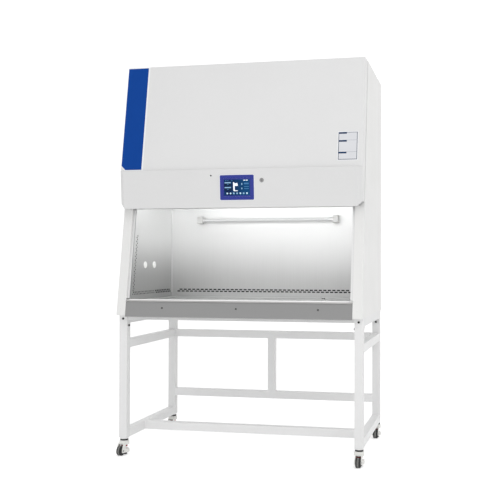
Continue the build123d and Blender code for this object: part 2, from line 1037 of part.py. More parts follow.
def socket_box():
    """Splash-proof twin outlet on the right wall, with the ears of its lid."""
    y = (socket_y - socket_width / 2, socket_y + socket_width / 2)
    z = (socket_z - socket_height / 2, socket_z + socket_height / 2)
    box = block((socket_face, inner_half - liner), y, z)
    for centre in (socket_y - socket_width / 4, socket_y + socket_width / 4):
        well = (socket_face - 1, centre, socket_z - outlet_drop)
        box -= rod("X", well, outlet_radius, outlet_depth + 1)
    ear_z = (flap_axis_z - flap_knuckle_radius, flap_axis_z + flap_knuckle_radius)
    for start in (y[0], y[1] - socket_ear):
        box += rod("Y", (flap_axis_x, start, flap_axis_z), flap_knuckle_radius, socket_ear)
        box += block((flap_axis_x, socket_face), (start, start + socket_ear), ear_z)
    pin_start = y[0] + 1
    box += rod("Y", (flap_axis_x, pin_start, flap_axis_z), flap_pin_radius, socket_width - 2)
    return box


parts["socket_box"] = socket_box()


def socket_flap():
    """Hinged splash lid over both outlets."""
    room = socket_ear + knuckle_end_gap
    y = (socket_y - socket_width / 2 + room, socket_y + socket_width / 2 - room)
    low = socket_z - socket_height / 2 + flap_margin
    lid = block((socket_face - touch - flap_thickness, socket_face - touch), y, (low, flap_axis_z))
    lid += rod("Y", (flap_axis_x, y[0], flap_axis_z), flap_knuckle_radius - touch, y[1] - y[0])
    bore = flap_pin_radius + shaft_clearance
    lid -= rod("Y", (flap_axis_x, y[0] - 1, flap_axis_z), bore, y[1] - y[0] + 2)
    return lid


parts["socket_flap"] = socket_flap()


def power_inlet():
    """Mains inlet let into the rear panel, face flush with it."""
    half_x, half_z = inlet_width / 2, inlet_height / 2
    floor_y = rear_y - inlet_recess
    sides = (inlet_x - half_x, inlet_x + half_x)
    inlet = block(sides, (rear_y - inlet_depth, rear_y), (inlet_z - half_z, inlet_z + half_z))
    inlet -= block(
        (sides[0] + inlet_wall_x, sides[1] - inlet_wall_x),
        (floor_y, rear_y + 1),
        (inlet_z - half_z + inlet_wall_z, inlet_z + half_z - inlet_wall_z),
    )
    for place in (-1, 0, 1):
        x = inlet_x + place * inlet_pin_spacing
        z = inlet_z + (inlet_earth_rise if place == 0 else -inlet_pole_drop)
        inlet += block(
            (x - inlet_pin_width / 2, x + inlet_pin_width / 2),
            (floor_y, floor_y + inlet_pin_length),
            (z - inlet_pin_height / 2, z + inlet_pin_height / 2),
        )
    return inlet


parts["power_inlet"] = power_inlet()


# ---------------------------------------------------------------- drain
valve_top = body_bottom - valve_drop
valve_centre = valve_top - valve_height / 2
drain_end = valve_top - valve_height - drain_tail_length


def drain_valve_body():
    """Ball valve under the pan: pipe through the pan, body, hose tail and the stem's boss."""
    pipe_top = pan_bottom + pan_floor
    valve = rod("Z", (drain_x, drain_y, drain_end), drain_pipe_radius, pipe_top - drain_end)
    valve += rod("Z", (drain_x, drain_y, valve_top - valve_height), valve_radius, valve_height)
    boss = (drain_x, drain_y - valve_radius - valve_boss, valve_centre)
    valve += rod("Y", boss, valve_stem_radius + valve_boss_wall, 2 * valve_boss)
    valve -= rod("Z", (drain_x, drain_y, drain_end - 1), drain_bore_radius, pipe_top - drain_end + 2)
    stem_bore = valve_stem_radius + shaft_clearance
    valve -= rod("Y", (boss[0], boss[1] - 1, boss[2]), stem_bore, valve_boss + valve_stem_seat)
    return valve


parts["drain_valve_body"] = drain_valve_body()


def drain_valve_lever():
    """Quarter-turn handle on the valve's stem."""
    front = drain_y - valve_radius - valve_boss - touch
    half = lever_width / 2
    lever = block(
        (drain_x - half, drain_x + lever_length),
        (front - lever_thickness, front),
        (valve_centre - half, valve_centre + half),
    )
    lever = fillet(lever.edges().filter_by(Axis.Y), lever_round)
    lever += rod("Y", (drain_x, front - 1, valve_centre), valve_stem_radius, lever_stem + 1)
    return lever


parts["drain_valve_lever"] = drain_valve_lever()


# ---------------------------------------------------------------- front cover and control band
def cover_front(z):
    """Y of the cover's outer face at height z."""
    if z >= seam_z:
        return front_at(z) - cover_standoff
    return cover_front(seam_z) + (seam_z - z) * tan(radians(band_lean))


def cover_back(z):
    """Y of the cover's open back at height z."""
    return front_at(z) - cover_gap


def corner_cuts(y):
    """The two cut-off bottom corners of the cover and band."""
    cuts = []
    for side in (-1, 1):
        edge = side * (cover_half + 1)
        points = [
            (edge, cover_bottom - 1),
            (edge, cover_bottom + corner_cut),
            (side * (cover_half - corner_cut), cover_bottom - 1),
        ]
        face = Pos(0, y[0], 0) * Rot(90, 0, 0) * Polygon(*points, align=None)
        cuts.append(extrude(face, y[1] - y[0], dir=(0, 1, 0)))
    return cuts


hinge_y = (cover_back(roof_top) + front_at(roof_top) + skin_y) / 2
hinge_z = roof_top + knuckle_radius + touch


def front_cover():
    """Hinged front cover: a pan open to the back, with a window behind the control band."""
    outline = [
        (cover_front(roof_top), roof_top),
        (cover_front(seam_z), seam_z),
        (cover_front(cover_bottom), cover_bottom),
        (cover_back(cover_bottom), cover_bottom),
        (cover_back(roof_top), roof_top),
    ]
    cover = across(outline, (-cover_half, cover_half))
    low, high = cover_bottom + skin, roof_top - skin
    hollow = [
        (cover_front(high) + skin_y, high),
        (cover_front(seam_z) + skin_y, seam_z),
        (cover_front(low) + skin_y, low),
        (cover_back(low) + cover_hollow_run, low),
        (cover_back(high) + cover_hollow_run, high),
    ]
    cover -= across(hollow, (-cover_half + skin, cover_half - skin))
    cover -= block(
        (-cover_half + cover_window, cover_half - cover_window),
        (cover_front(seam_z) - skin, cover_front(seam_z) + cover_hollow_run),
        (cover_bottom + cover_window, seam_z - cover_window / 2),
    )
    for cut in corner_cuts((cover_front(seam_z) - 2 * band_nose, rear_y)):
        cover -= cut
    for x in hinge_x:
        for start in (x - 1.5 * knuckle_length, x + 0.5 * knuckle_length + knuckle_end_gap):
            length = knuckle_length - knuckle_end_gap
            cover += block(
                (start, start + length),
                (cover_back(roof_top) - hinge_leaf_depth, hinge_y),
                (roof_top, roof_top + hinge_leaf),
            )
            cover += rod("X", (start, hinge_y, hinge_z), knuckle_radius, length)
            cover -= rod("X", (start - 1, hinge_y, hinge_z), hinge_pin_radius + shaft_clearance, length + 2)
    return cover


parts["front_cover"] = front_cover()


def cover_hinges():
    """Fixed leaves and pins of the cover's hinges, on the roof's front edge."""
    hinges = []
    roof_front = front_at(roof_top) + skin_y
    for x in hinge_x:
        half = knuckle_length / 2
        leaf = block(
            (x - half, x + half), (hinge_y, roof_front + hinge_leaf_depth), (roof_top, roof_top + hinge_leaf)
        )
        leaf += rod("X", (x - half, hinge_y, hinge_z), knuckle_radius, knuckle_length)
        leaf += rod("X", (x - 1.5 * knuckle_length, hinge_y, hinge_z), hinge_pin_radius, 3 * knuckle_length)
        hinges.append(leaf)
    return Compound(children=hinges)


parts["cover_hinges"] = cover_hinges()

band_height = (seam_z - cover_bottom) / cos(radians(band_lean))


def on_band(shape):
    """Places a shape drawn with z down from the seam and y out from the cover's face."""
    return Pos(0, cover_front(seam_z), seam_z) * Rot(band_lean, 0, 0) * shape


def band_outline(inset):
    """Plan of the band: front face, slanted ends and the back line."""
    half = cover_half - inset
    depth = band_nose - inset
    return [(-half, 0), (-half + depth, -depth), (half - depth, -depth), (half, 0)]


band_face = -band_nose


def on_face(x, drop, radius, front, back):
    """A cylinder square to the band's face, between two depths."""
    return rod("Y", (x, front, -drop), radius, back - front)


def control_fascia():
    """Control band shell with slanted ends and windows for the display, lock and receiver."""
    top = -touch
    outer = Pos(0, 0, -band_height) * Polygon(*band_outline(0), align=None)
    shell = extrude(outer, band_height + top, dir=(0, 0, 1))
    inner = Pos(0, 0, -band_height + band_wall) * Polygon(*band_outline(band_wall), align=None)
    shell -= extrude(inner, band_height + top - 2 * band_wall, dir=(0, 0, 1))
    half_x, half_z = screen_width / 2 + window_margin, screen_height / 2 + window_margin
    window_z = (-display_drop - half_z, -display_drop + half_z)
    shell -= block((-half_x, half_x), (band_face - 1, band_face + 2 * band_wall), window_z)
    bore = lock_radius + shaft_clearance
    collar_front = band_face - lock_collar_proud
    shell += on_face(lock_x, lock_drop, lock_radius + lock_collar, collar_front, band_face + band_wall)
    shell -= on_face(lock_x, lock_drop, bore, collar_front - 1, band_face + 2 * band_wall)
    shell -= on_face(receiver_x, receiver_drop, receiver_radius, band_face - 1, band_face + receiver_depth)
    shell = on_band(shell)
    for cut in corner_cuts((cover_front(seam_z) - 2 * band_nose, rear_y)):
        shell -= cut
    return shell


parts["control_fascia"] = control_fascia()


def display_bezel():
    """Frame round the display, with the flange that sits on the band."""
    half_x, half_z = display_width / 2, display_height / 2
    z = (-display_drop - half_z, -display_drop + half_z)
    flange = block((-half_x, half_x), (band_face - bezel_proud, band_face), z)
    flange = fillet(flange.edges().filter_by(Axis.Y), bezel_round)
    flange = chamfer(flange.faces().sort_by(Axis.Y)[0].edges(), bezel_edge)
    in_x, in_z = screen_width / 2 + bezel_lap, screen_height / 2 + bezel_lap
    flange += block(
        (-in_x, in_x), (band_face, band_face + bezel_depth), (-display_drop - in_z, -display_drop + in_z)
    )
    view_x, view_z = screen_width / 2 + touch, screen_height / 2 + touch
    view = (-display_drop - view_z, -display_drop + view_z)
    flange -= block((-view_x, view_x), (band_face - bezel_depth, band_face + bezel_depth - bezel_back), view)
    return on_band(flange)


parts["display_bezel"] = display_bezel()


def display_screen():
    """Display glass, seated in the bezel."""
    half_x, half_z = screen_width / 2, screen_height / 2
    front = band_face - bezel_proud + screen_inset
    back = band_face + bezel_depth - bezel_back
    z = (-display_drop - half_z, -display_drop + half_z)
    return on_band(block((-half_x, half_x), (front, back), z))


parts["display_screen"] = display_screen()


def key_lock():
    """Turning barrel of the key switch, with its key slot and the stop behind the band."""
    front = band_face - lock_proud
    half_x, half_z = key_slot_width / 2, key_slot_height / 2
    barrel = on_face(lock_x, lock_drop, lock_radius, front, front + lock_length)
    barrel -= block(
        (lock_x - half_x, lock_x + half_x),
        (front - 1, front + key_slot_depth),
        (-lock_drop - half_z, -lock_drop + half_z),
    )
    stop = band_face + band_wall + touch
    barrel += on_face(lock_x, lock_drop, lock_radius + lock_stop, stop, stop + lock_stop_thickness)
    return on_band(barrel)


parts["key_lock"] = key_lock()


# ---------------------------------------------------------------- stand
def tube_along(axis, x, y, z, closed=0):
    """A square tube between two corners, hollow along axis, with closed thickness left at its low end."""
    solid = block(x, y, z)
    spans = {"X": x, "Y": y, "Z": z}
    inner = {}
    for name, (low, high) in spans.items():
        if name == axis:
            inner[name] = (low + closed if closed else low - 1, high + 1)
        else:
            inner[name] = (low + tube_wall, high - tube_wall)
    return solid - block(inner["X"], inner["Y"], inner["Z"])


def stand_top_frame():
    """Welded frame the body sits on: side, front and back tubes, with a gusset to each leg."""
    inner = half_width - tube
    pieces = []
    for side in (-1, 1):
        sides, height = (inner, half_width), (frame_bottom, body_bottom)
        rail = tube_along("Y", sides, (stand_front, stand_rear), height, tube_wall)
        rail += block(sides, (stand_rear - tube_wall, stand_rear), height)
        for y, way in ((stand_front + tube, 1), (stand_rear - tube, -1)):
            reach, drop = y + way * gusset_size, frame_bottom - gusset_size
            corner = [(y, frame_bottom), (reach, frame_bottom), (y, drop)]
            plate = across(corner, (half_width - gusset_thickness, half_width))
            centre = (half_width - 2 * gusset_thickness, reach, drop)
            plate -= rod("X", centre, gusset_size - gusset_web, 3 * gusset_thickness)
            rail += plate
        pieces.append(rail if side > 0 else mirrored(rail))
    near = stand_front + front_rail_setback
    front = (-inner, inner), (near, near + front_rail_height)
    pieces.append(tube_along("X", *front, (body_bottom - front_rail_height, body_bottom)))
    back = (-inner, inner), (stand_rear - tube, stand_rear)
    pieces.append(tube_along("X", *back, (frame_bottom, body_bottom)))
    return Compound(children=pieces)


parts["stand_top_frame"] = stand_top_frame()


def stand_legs():
    """Four legs under the top frame, closed at the foot round the caster's stud."""
    legs = []
    for x in (-leg_x, leg_x):
        for y in leg_y:
            half = tube / 2
            leg = tube_along(
                "Z", (x - half, x + half), (y - half, y + half), (leg_bottom, frame_bottom), leg_foot
            )
            plate_z = leg_bottom - foot_plate
            leg += rod("Z", (x, y, plate_z), foot_plate_radius, foot_plate)
            leg -= rod("Z", (x, y, plate_z - 1), stud_radius, foot_plate + leg_foot + 2)
            legs.append(leg)
    return Compound(children=legs)


parts["stand_legs"] = stand_legs()


def stand_rails():
    """Side rails at two heights, back rails with a post between them, and the low cross rail."""
    inner = half_width - tube
    between = (stand_front + tube, stand_rear - tube)
    back = (stand_rear - tube, stand_rear)
    pieces = []
    for low in (leg_bottom, upper_rail_bottom):
        rail = tube_along("Y", (inner, half_width), between, (low, low + tube))
        pieces += [rail, mirrored(rail)]
    for low in (mid_rail_bottom, upper_rail_bottom):
        pieces.append(tube_along("X", (-inner, inner), back, (low, low + tube)))
    pieces.append(tube_along("Z", (-tube / 2, tube / 2), back, (mid_rail_bottom + tube, upper_rail_bottom)))
    pieces.append(
        tube_along("X", (-inner, inner), (cross_rail_y, cross_rail_y + tube), (leg_bottom, leg_bottom + tube))
    )
    return Compound(children=pieces)


parts["stand_rails"] = stand_rails()


def stand_bolts():
    """Round-headed bolts that join the legs and the top frame."""
    bolts = []
    for side in (-1, 1):
        for y in leg_y:
            start = (half_width - tube - bolt_head, y, bolt_side_z)
            head = rod("X", start, bolt_radius, bolt_head)
            bolts.append(head if side > 0 else mirrored(head))
        front_start = (side * leg_x, stand_front - bolt_head / 2, bolt_front_z)
        front = rod("Y", front_start, bolt_radius, bolt_head / 2)
        rear = rod("Y", (side * leg_x, stand_rear - tube - bolt_head, bolt_rear_z), bolt_radius, bolt_head)
        bolts += [front, rear]
    return Compound(children=bolts)


parts["stand_bolts"] = stand_bolts()


# ---------------------------------------------------------------- casters
def at_leg(shape, x, y, turn=0):
    """Puts a caster piece, drawn round its own stud, under a leg, turned about the stud."""
    return Pos(x, y, 0) * Rot(0, 0, turn) * shape


def caster_stud():
    """Stud in the leg with the ring that the caster turns under."""
    ring_height = leg_bottom - foot_plate - housing_top - touch
    ring = rod("Z", (0, 0, housing_top + touch), ring_radius, ring_height)
    ring = chamfer(ring.edges().filter_by(GeomType.CIRCLE).sort_by(Axis.Z)[:1], ring_chamfer)
    seat = housing_bottom + housing_seat
    ring += rod("Z", (0, 0, seat), stud_radius, leg_bottom + stud_length - seat)
    return ring + rod("Z", (0, 0, seat), stud_radius + stud_head, stud_head)


def caster_housing():
    """White cast body: cap under the ring, collar over the pad and two cheeks out to the axle."""
    cap = rod("Z", (0, 0, housing_bottom), housing_radius, housing_top - housing_bottom)
    cap = fillet(cap.edges().filter_by(GeomType.CIRCLE).sort_by(Axis.Z)[-1:], housing_round)
    collar = rod("Z", (0, 0, collar_bottom), collar_radius, collar_height)
    collar = fillet(collar.edges().filter_by(GeomType.CIRCLE).sort_by(Axis.Z)[-1:], collar_round)
    inner_x = wheel_width / 2 + cheek_gap
    outer_x = inner_x + cheek_thickness
    reach = caster_offset + cheek_reach
    top = housing_top - cheek_drop
    shoulder = (reach - cheek_shoulder, top - cheek_drop)
    arm = [
        (cheek_root, collar_bottom),
        (cheek_root, top),
        shoulder,
        (reach, wheel_radius + cheek_nose),
        (reach, wheel_radius - cheek_heel),
        (reach - cheek_heel, collar_bottom),
    ]
    cheek = across(arm, (inner_x, outer_x))
    nose = cheek.edges().filter_by(Axis.X).sort_by(Axis.Y)[-2:]
    cheek = fillet(nose, cheek_round)
    room_start = caster_offset - wheel_radius - wheel_room
    room = block((-inner_x, inner_x), (room_start, collar_radius), (0, housing_bottom))
    body = cap + (collar - room) + cheek + mirrored(cheek)
    under = (shoulder[0], shoulder[1] - cheek_roof)
    roof = [(cheek_root, top - cheek_roof), under, shoulder, (cheek_root, top)]
    body += across(roof, (-outer_x, outer_x))
    body += rod("X", (-outer_x, caster_offset, wheel_radius), wheel_bore, 2 * outer_x)
    # Cavity for the stud's head and its bore, and the levelling screw's bore.
    seat = housing_bottom + housing_seat
    body -= rod("Z", (0, 0, seat - touch), stud_radius + stud_head + touch, stud_head + 1)
    body -= rod("Z", (0, 0, seat + 1), stud_radius + shaft_clearance, housing_top)
    screw_hole = housing_bottom + screw_engagement - collar_bottom
    body -= rod("Z", (0, 0, collar_bottom - 1), screw_radius + screw_play, screw_hole + 1)
    return body


def caster_wheel():
    """Tyre and hub turning on the axle."""
    half = wheel_width / 2
    wheel = rod("X", (-half, caster_offset, wheel_radius), wheel_radius, wheel_width)
    wheel = fillet(wheel.edges().filter_by(GeomType.CIRCLE), tyre_round)
    for x in (-half - 1, half - hub_recess):
        start = (x, caster_offset, wheel_radius)
        recess = rod("X", start, wheel_radius - tyre_wall, hub_recess + 1)
        wheel -= recess - rod("X", start, wheel_bore + hub_wall, hub_recess + 1)
    bore_start = (-half - 1, caster_offset, wheel_radius)
    return wheel - rod("X", bore_start, wheel_bore + axle_play, wheel_width + 2)


def levelling_dial():
    """Notched red nut that is turned to lower the foot."""
    dial = rod("Z", (0, 0, dial_bottom), dial_radius, dial_height)
    for i in range(dial_notches):
        turn = Rot(0, 0, 360 / dial_notches * i)
        notch = rod("Z", (dial_radius + notch_offset, 0, dial_bottom - 1), notch_radius, dial_height + 2)
        dial -= turn * notch
    return dial - rod("Z", (0, 0, dial_bottom - 1), screw_radius + screw_play, dial_height + 2)


def levelling_foot():
    """Screw with the rubber pad that takes the weight when lowered."""
    pad = rod("Z", (0, 0, pad_lift), pad_radius, pad_height)
    pad = chamfer(pad.edges().filter_by(GeomType.CIRCLE).sort_by(Axis.Z)[-1:], pad_chamfer)
    foot_top = pad_lift + pad_height
    screw_top = housing_bottom + screw_engagement - 1
    return pad + rod("Z", (0, 0, foot_top), screw_radius, screw_top - foot_top)


studs = []
for depth_name, leg_depth in zip(("front", "rear"), leg_y):
    for side_name, leg_side in (("left", -leg_x), ("right", leg_x)):
        place = f"{depth_name}_{side_name}"
        parts[f"caster_housing_{place}"] = at_leg(caster_housing(), leg_side, leg_depth, caster_turn[place])
        parts[f"caster_wheel_{place}"] = at_leg(caster_wheel(), leg_side, leg_depth, caster_turn[place])
        parts[f"levelling_dial_{place}"] = at_leg(levelling_dial(), leg_side, leg_depth)
        parts[f"levelling_foot_{place}"] = at_leg(levelling_foot(), leg_side, leg_depth)
        studs.append(at_leg(caster_stud(), leg_side, leg_depth))
parts["caster_studs"] = Compound(children=studs)

os.makedirs("parts", exist_ok=True)
for node, shape in parts.items():
    export_step(shape, f"parts/{node}.step")
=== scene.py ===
"""Looks of the biosafety cabinet: materials, small fittings, floor, light and camera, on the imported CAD."""

import json
import math

import bmesh
import bpy
from mathutils import Matrix, Vector


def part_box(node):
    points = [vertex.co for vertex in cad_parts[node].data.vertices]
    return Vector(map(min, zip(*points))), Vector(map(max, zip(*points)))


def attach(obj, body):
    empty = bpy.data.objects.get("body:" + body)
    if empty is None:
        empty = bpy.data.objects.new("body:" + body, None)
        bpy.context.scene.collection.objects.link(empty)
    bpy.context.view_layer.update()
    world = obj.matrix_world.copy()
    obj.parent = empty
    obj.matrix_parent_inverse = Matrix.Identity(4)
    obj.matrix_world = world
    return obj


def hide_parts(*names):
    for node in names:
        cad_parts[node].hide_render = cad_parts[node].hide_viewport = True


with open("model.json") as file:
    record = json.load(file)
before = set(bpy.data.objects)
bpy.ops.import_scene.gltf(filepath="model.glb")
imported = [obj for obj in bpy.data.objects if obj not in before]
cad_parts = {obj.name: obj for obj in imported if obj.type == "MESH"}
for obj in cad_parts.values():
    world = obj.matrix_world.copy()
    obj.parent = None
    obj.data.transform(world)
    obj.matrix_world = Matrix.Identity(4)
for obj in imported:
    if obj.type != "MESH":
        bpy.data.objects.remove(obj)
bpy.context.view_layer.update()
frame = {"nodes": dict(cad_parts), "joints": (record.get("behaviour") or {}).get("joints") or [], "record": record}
NODES = frame["nodes"]

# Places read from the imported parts, in metres
wall_low, wall_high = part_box("inner_left_wall")
panel_low, panel_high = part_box("left_side_panel")
INNER = -wall_low.x
WALL_FACE = -wall_high.x
CEILING = wall_high.z
BODY_BOTTOM = panel_low.z
REAR = panel_high.y
BACK_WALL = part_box("inner_back_wall")[0].y
COVER_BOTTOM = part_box("front_cover")[0].z

# Front: the body and cover lean back by SLOPE, and the control band faces down by LEAN
SLOPE = math.radians(10)
LEAN = math.radians(4.5)
SEAM_Z = 1.546
STANDOFF = 0.096
NOSE = 0.026
DISPLAY_DROP = 0.098
BEZEL_PROUD = 0.0025
SCREEN_INSET = 0.0012
SYMBOL_RISE = 0.00014
LOCK = (0.136, 0.062)
RECEIVER = (-0.143, 0.033)
STRIPE_X = (-0.6675, -0.5385)
STRIPE_Z = (1.5485, 2.1370)
STRIPE_CUT = 0.024
PLATE_AT = (0.587, 1.657)
PLATE_HALF = (0.050, 0.0745)
PRINT_RISE = (0.0003, 0.0005, 0.0007, 0.0008, 0.0009)

# Chamber and wheels
LIP_TOP = 0.851
TRAY_TOP = 0.843
SLOT_ROWS = (0.872, 0.883)
WALL_SETBACK = 0.0325
KNOB = (0.454, -0.3408)
WHEEL_RADIUS = 0.026
WHEEL_HALF = 0.013
CHEEK_OUT = 0.0185

# Light of the floor and the room, as shares of full white
FLOOR_GLOW = 0.42
ROOM_LIGHT = 0.80


# ---------------------------------------------------------------- shader maths
class S:
    """A shader socket that can be added, multiplied and so on, with numbers on either side."""

    def __init__(self, tree, socket):
        self.tree, self.socket = tree, socket

    def op(self, kind, *values):
        return make(self.tree, "ShaderNodeMath", {"operation": kind}, dict(enumerate((self, *values))))

    def __add__(self, other):
        return self.op("ADD", other)

    __radd__ = __add__

    def __sub__(self, other):
        return self.op("SUBTRACT", other)

    def __mul__(self, other):
        return self.op("MULTIPLY", other)

    __rmul__ = __mul__

    def __lt__(self, other):
        return self.op("LESS_THAN", other)

    def __abs__(self):
        return self.op("ABSOLUTE")

    def frac(self):
        return self.op("FRACT")

    def most(self, other):
        return self.op("MAXIMUM", other)

    def ramp(self, low, high, to_low=0.0, to_high=1.0):
        """Eases from to_low to to_high as the value goes from low to high."""
        sockets = {"Value": self, "From Min": low, "From Max": high, "To Min": to_low, "To Max": to_high}
        return make(self.tree, "ShaderNodeMapRange", {"interpolation_type": "SMOOTHSTEP"}, sockets, "Result")


def make(tree, kind, settings=None, sockets=None, output=0):
    """Adds a node, sets it up, fills or links its sockets and gives back one output."""
    node = tree.nodes.new(kind)
    for name, value in (settings or {}).items():
        setattr(node, name, value)
    for name, value in (sockets or {}).items():
        if isinstance(value, S):
            tree.links.new(value.socket, node.inputs[name])
        else:
            node.inputs[name].default_value = value
    return S(tree, node.outputs[output])


class Paint:
    """One procedural material: a Principled shader with helpers for what may vary over the surface."""

    def __init__(self, name, colour, rough, metal=0.0, coat=0.0, spec=0.5):
        self.mat = bpy.data.materials.new(name)
        self.mat.use_nodes = True
        self.tree = self.mat.node_tree
        self.shader = self.tree.nodes["Principled BSDF"]
        self.shader.inputs["Base Color"].default_value = (*colour, 1)
        self.shader.inputs["Roughness"].default_value = rough
        self.shader.inputs["Metallic"].default_value = metal
        self.shader.inputs["Coat Weight"].default_value = coat
        self.shader.inputs["Specular IOR Level"].default_value = spec
        self.mat.diffuse_color = (*colour, 1)
        self.coords = make(self.tree, "ShaderNodeTexCoord", output="Object")

    def axis(self, index):
        return make(self.tree, "ShaderNodeSeparateXYZ", None, {0: self.coords}, index)

    def stretched(self, scale):
        sockets = {"Vector": self.coords, "Scale": scale}
        return make(self.tree, "ShaderNodeMapping", {"vector_type": "POINT"}, sockets)

    def place(self, stretch):
        return self.stretched(stretch) if stretch else self.coords

    def noise(self, scale, detail=3.0, rough=0.5, stretch=None):
        sockets = {"Vector": self.place(stretch), "Scale": scale, "Detail": detail, "Roughness": rough}
        return make(self.tree, "ShaderNodeTexNoise", None, sockets)

    def cells(self, scale, stretch=None, output="Distance"):
        sockets = {"Vector": self.place(stretch), "Scale": scale}
        return make(self.tree, "ShaderNodeTexVoronoi", None, sockets, output)

    def feed(self, name, value):
        self.tree.links.new(value.socket, self.shader.inputs[name])

    def before(self, name):
        """What feeds a shader socket so far: a link or a plain value."""
        socket = self.shader.inputs[name]
        return S(self.tree, socket.links[0].from_socket) if socket.is_linked else socket.default_value

    def tint(self, mask, colour, amount=1.0):
        """Mixes another colour in where mask is 1."""
        sockets = {"A": self.before("Base Color"), "B": (*colour, 1), "Factor": mask * amount}
        node = self.tree.nodes.new("ShaderNodeMix")
        node.data_type = "RGBA"
        named = {"A": node.inputs[6], "B": node.inputs[7], "Factor": node.inputs[0]}
        for name, value in sockets.items():
            if isinstance(value, S):
                self.tree.links.new(value.socket, named[name])
            else:
                named[name].default_value = value
        self.feed("Base Color", S(self.tree, node.outputs[2]))

    def roughen(self, mask, low, high):
        self.feed("Roughness", mask.ramp(0.25, 0.75, low, high))

    def bump(self, height, depth, strength=1.0):
        """Adds a height field. depth is in metres."""
        sockets = {"Strength": strength, "Distance": depth, "Height": height}
        if self.shader.inputs["Normal"].is_linked:
            sockets["Normal"] = self.before("Normal")
        self.feed("Normal", make(self.tree, "ShaderNodeBump", None, sockets))

    def glow(self, colour, strength):
        self.shader.inputs["Emission Color"].default_value = (*colour, 1)
        self.shader.inputs["Emission Strength"].default_value = strength


def shade(colour, factor):
    return tuple(min(1.0, c * factor) for c in colour)


def powder(name, colour, rough=0.42, peel=0.00004):
    """Powder-coated sheet: orange peel, faint mottling and handled patches."""
    paint = Paint(name, colour, rough, spec=0.4)
    paint.tint(paint.noise(1.6, 4).ramp(0.35, 0.7), shade(colour, 0.985))
    paint.tint(paint.noise(60, 2).ramp(0.55, 0.75), shade(colour, 1.012), 0.6)
    paint.roughen(paint.noise(6, 5, 0.6), rough - 0.05, rough + 0.08)
    paint.bump(paint.noise(900, 2, 0.6), peel, 0.5)
    return paint.mat


def brushed_paint(name, colour, rough, along, depth, tone):
    """Brushed sheet with its grain along one axis: fine streaks in colour, roughness and height."""
    wide, fine = [520.0] * 3, [2400.0] * 3
    wide[along], fine[along] = 3.0, 14.0
    paint = Paint(name, colour, rough, metal=1.0)
    streak = paint.noise(1.0, 4, 0.6, wide)
    paint.tint(streak.ramp(0.3, 0.75), shade(colour, tone))
    paint.tint(paint.noise(2.2, 3).ramp(0.45, 0.8), shade(colour, 0.975), 0.6)
    paint.roughen(streak, rough - 0.03, rough + 0.05)
    paint.bump(paint.noise(1.0, 2, 0.7, fine), depth, 0.3)
    return paint


def brushed(name, colour, rough=0.3, along=0, depth=0.00002, tone=0.955):
    return brushed_paint(name, colour, rough, along, depth, tone).mat


def liner_steel(name, colour, along, rough, painted_light_gain):
    """Satin stainless of the chamber walls: fine grain, and painted light that makes them brighter away from the
    tray.
    """
    paint = brushed_paint(name, colour, rough, along, 0.000015, 0.97)
    height = paint.axis(2) + (paint.noise(1.5, 3) - 0.5) * 0.05
    # Painted light: the colour brightens from above the tray up towards the ceiling.
    paint.tint(height.ramp(TRAY_TOP + 0.08, COVER_BOTTOM - 0.12), shade(colour, painted_light_gain), 0.9)
    return paint.mat


def lip_with_painted_highlight(name, colour):
    """Brushed arm rest with a painted highlight along its top edge."""
    paint = brushed_paint(name, colour, 0.36, 0, 0.00002, 0.955)
    # Painted highlight: a pale band along the lip's top edge.
    edge = paint.axis(2) + (paint.noise(9, 4) - 0.5) * 0.0012
    paint.tint(edge.ramp(LIP_TOP - 0.0075, LIP_TOP - 0.0045), (0.86, 0.86, 0.855))
    return paint.mat


def moulded(name, colour, rough=0.35, grain=0.00003, coat=0.0, spec=0.5):
    """Moulded plastic: fine spark-eroded grain and faint flow shading."""
    paint = Paint(name, colour, rough, coat=coat, spec=spec)
    paint.tint(paint.noise(14, 3), shade(colour, 0.93))
    paint.roughen(paint.noise(60, 3), rough - 0.05, rough + 0.08)
    paint.bump(paint.cells(1500), grain, 0.4)
    return paint.mat


def cast(name, colour, rough=0.3, metal=1.0):
    """Cast or turned metal with fine pitting."""
    paint = Paint(name, colour, rough, metal=metal)
    paint.tint(paint.noise(80, 4).ramp(0.4, 0.7), shade(colour, 0.85))
    paint.roughen(paint.noise(200, 3), rough - 0.05, rough + 0.12)
    paint.bump(paint.noise(700, 3, 0.7), 0.00004, 0.4)
    return paint.mat


def rubber(name, colour, rough=0.6):
    """Moulded rubber with a dusty bloom."""
    paint = Paint(name, colour, rough, spec=0.3)
    paint.tint(paint.noise(120, 4).ramp(0.45, 0.7), shade(colour, 1.8), 0.5)
    paint.roughen(paint.noise(90, 3), rough - 0.08, rough + 0.12)
    paint.bump(paint.noise(1200, 2), 0.00005, 0.5)
    return paint.mat


def filter_paper(name, colour):
    """Filter media: fibre speckle and the glue beads between the folds."""
    bead_pitch = 0.025
    paint = Paint(name, colour, 0.8, spec=0.2)
    beads = (paint.axis(1) * (1 / bead_pitch)).frac() - 0.5
    paint.tint(abs(beads) < 0.06, shade(colour, 1.1), 0.7)
    paint.tint(paint.noise(400, 4).ramp(0.4, 0.7), shade(colour, 0.88))
    paint.bump(paint.noise(500, 4, 0.7), 0.0001, 0.5)
    return paint.mat


def galvanised(name, colour):
    """Zinc-coated sheet with its crystal spangle."""
    paint = Paint(name, colour, 0.42, metal=0.9)
    flake = make(paint.tree, "ShaderNodeSeparateColor", None, {0: paint.cells(70, output="Color")})
    paint.tint(flake, shade(colour, 0.8), 0.7)
    paint.roughen(flake, 0.34, 0.52)
    paint.bump(paint.noise(300, 3), 0.00003, 0.3)
    return paint.mat


def clear_glass(name, colour):
    paint = Paint(name, colour, 0.03)
    paint.shader.inputs["Transmission Weight"].default_value = 1.0
    paint.shader.inputs["IOR"].default_value = 1.5
    paint.roughen(paint.noise(9, 4), 0.02, 0.06)
    paint.bump(paint.noise(3, 2), 0.0002, 0.05)
    return paint.mat


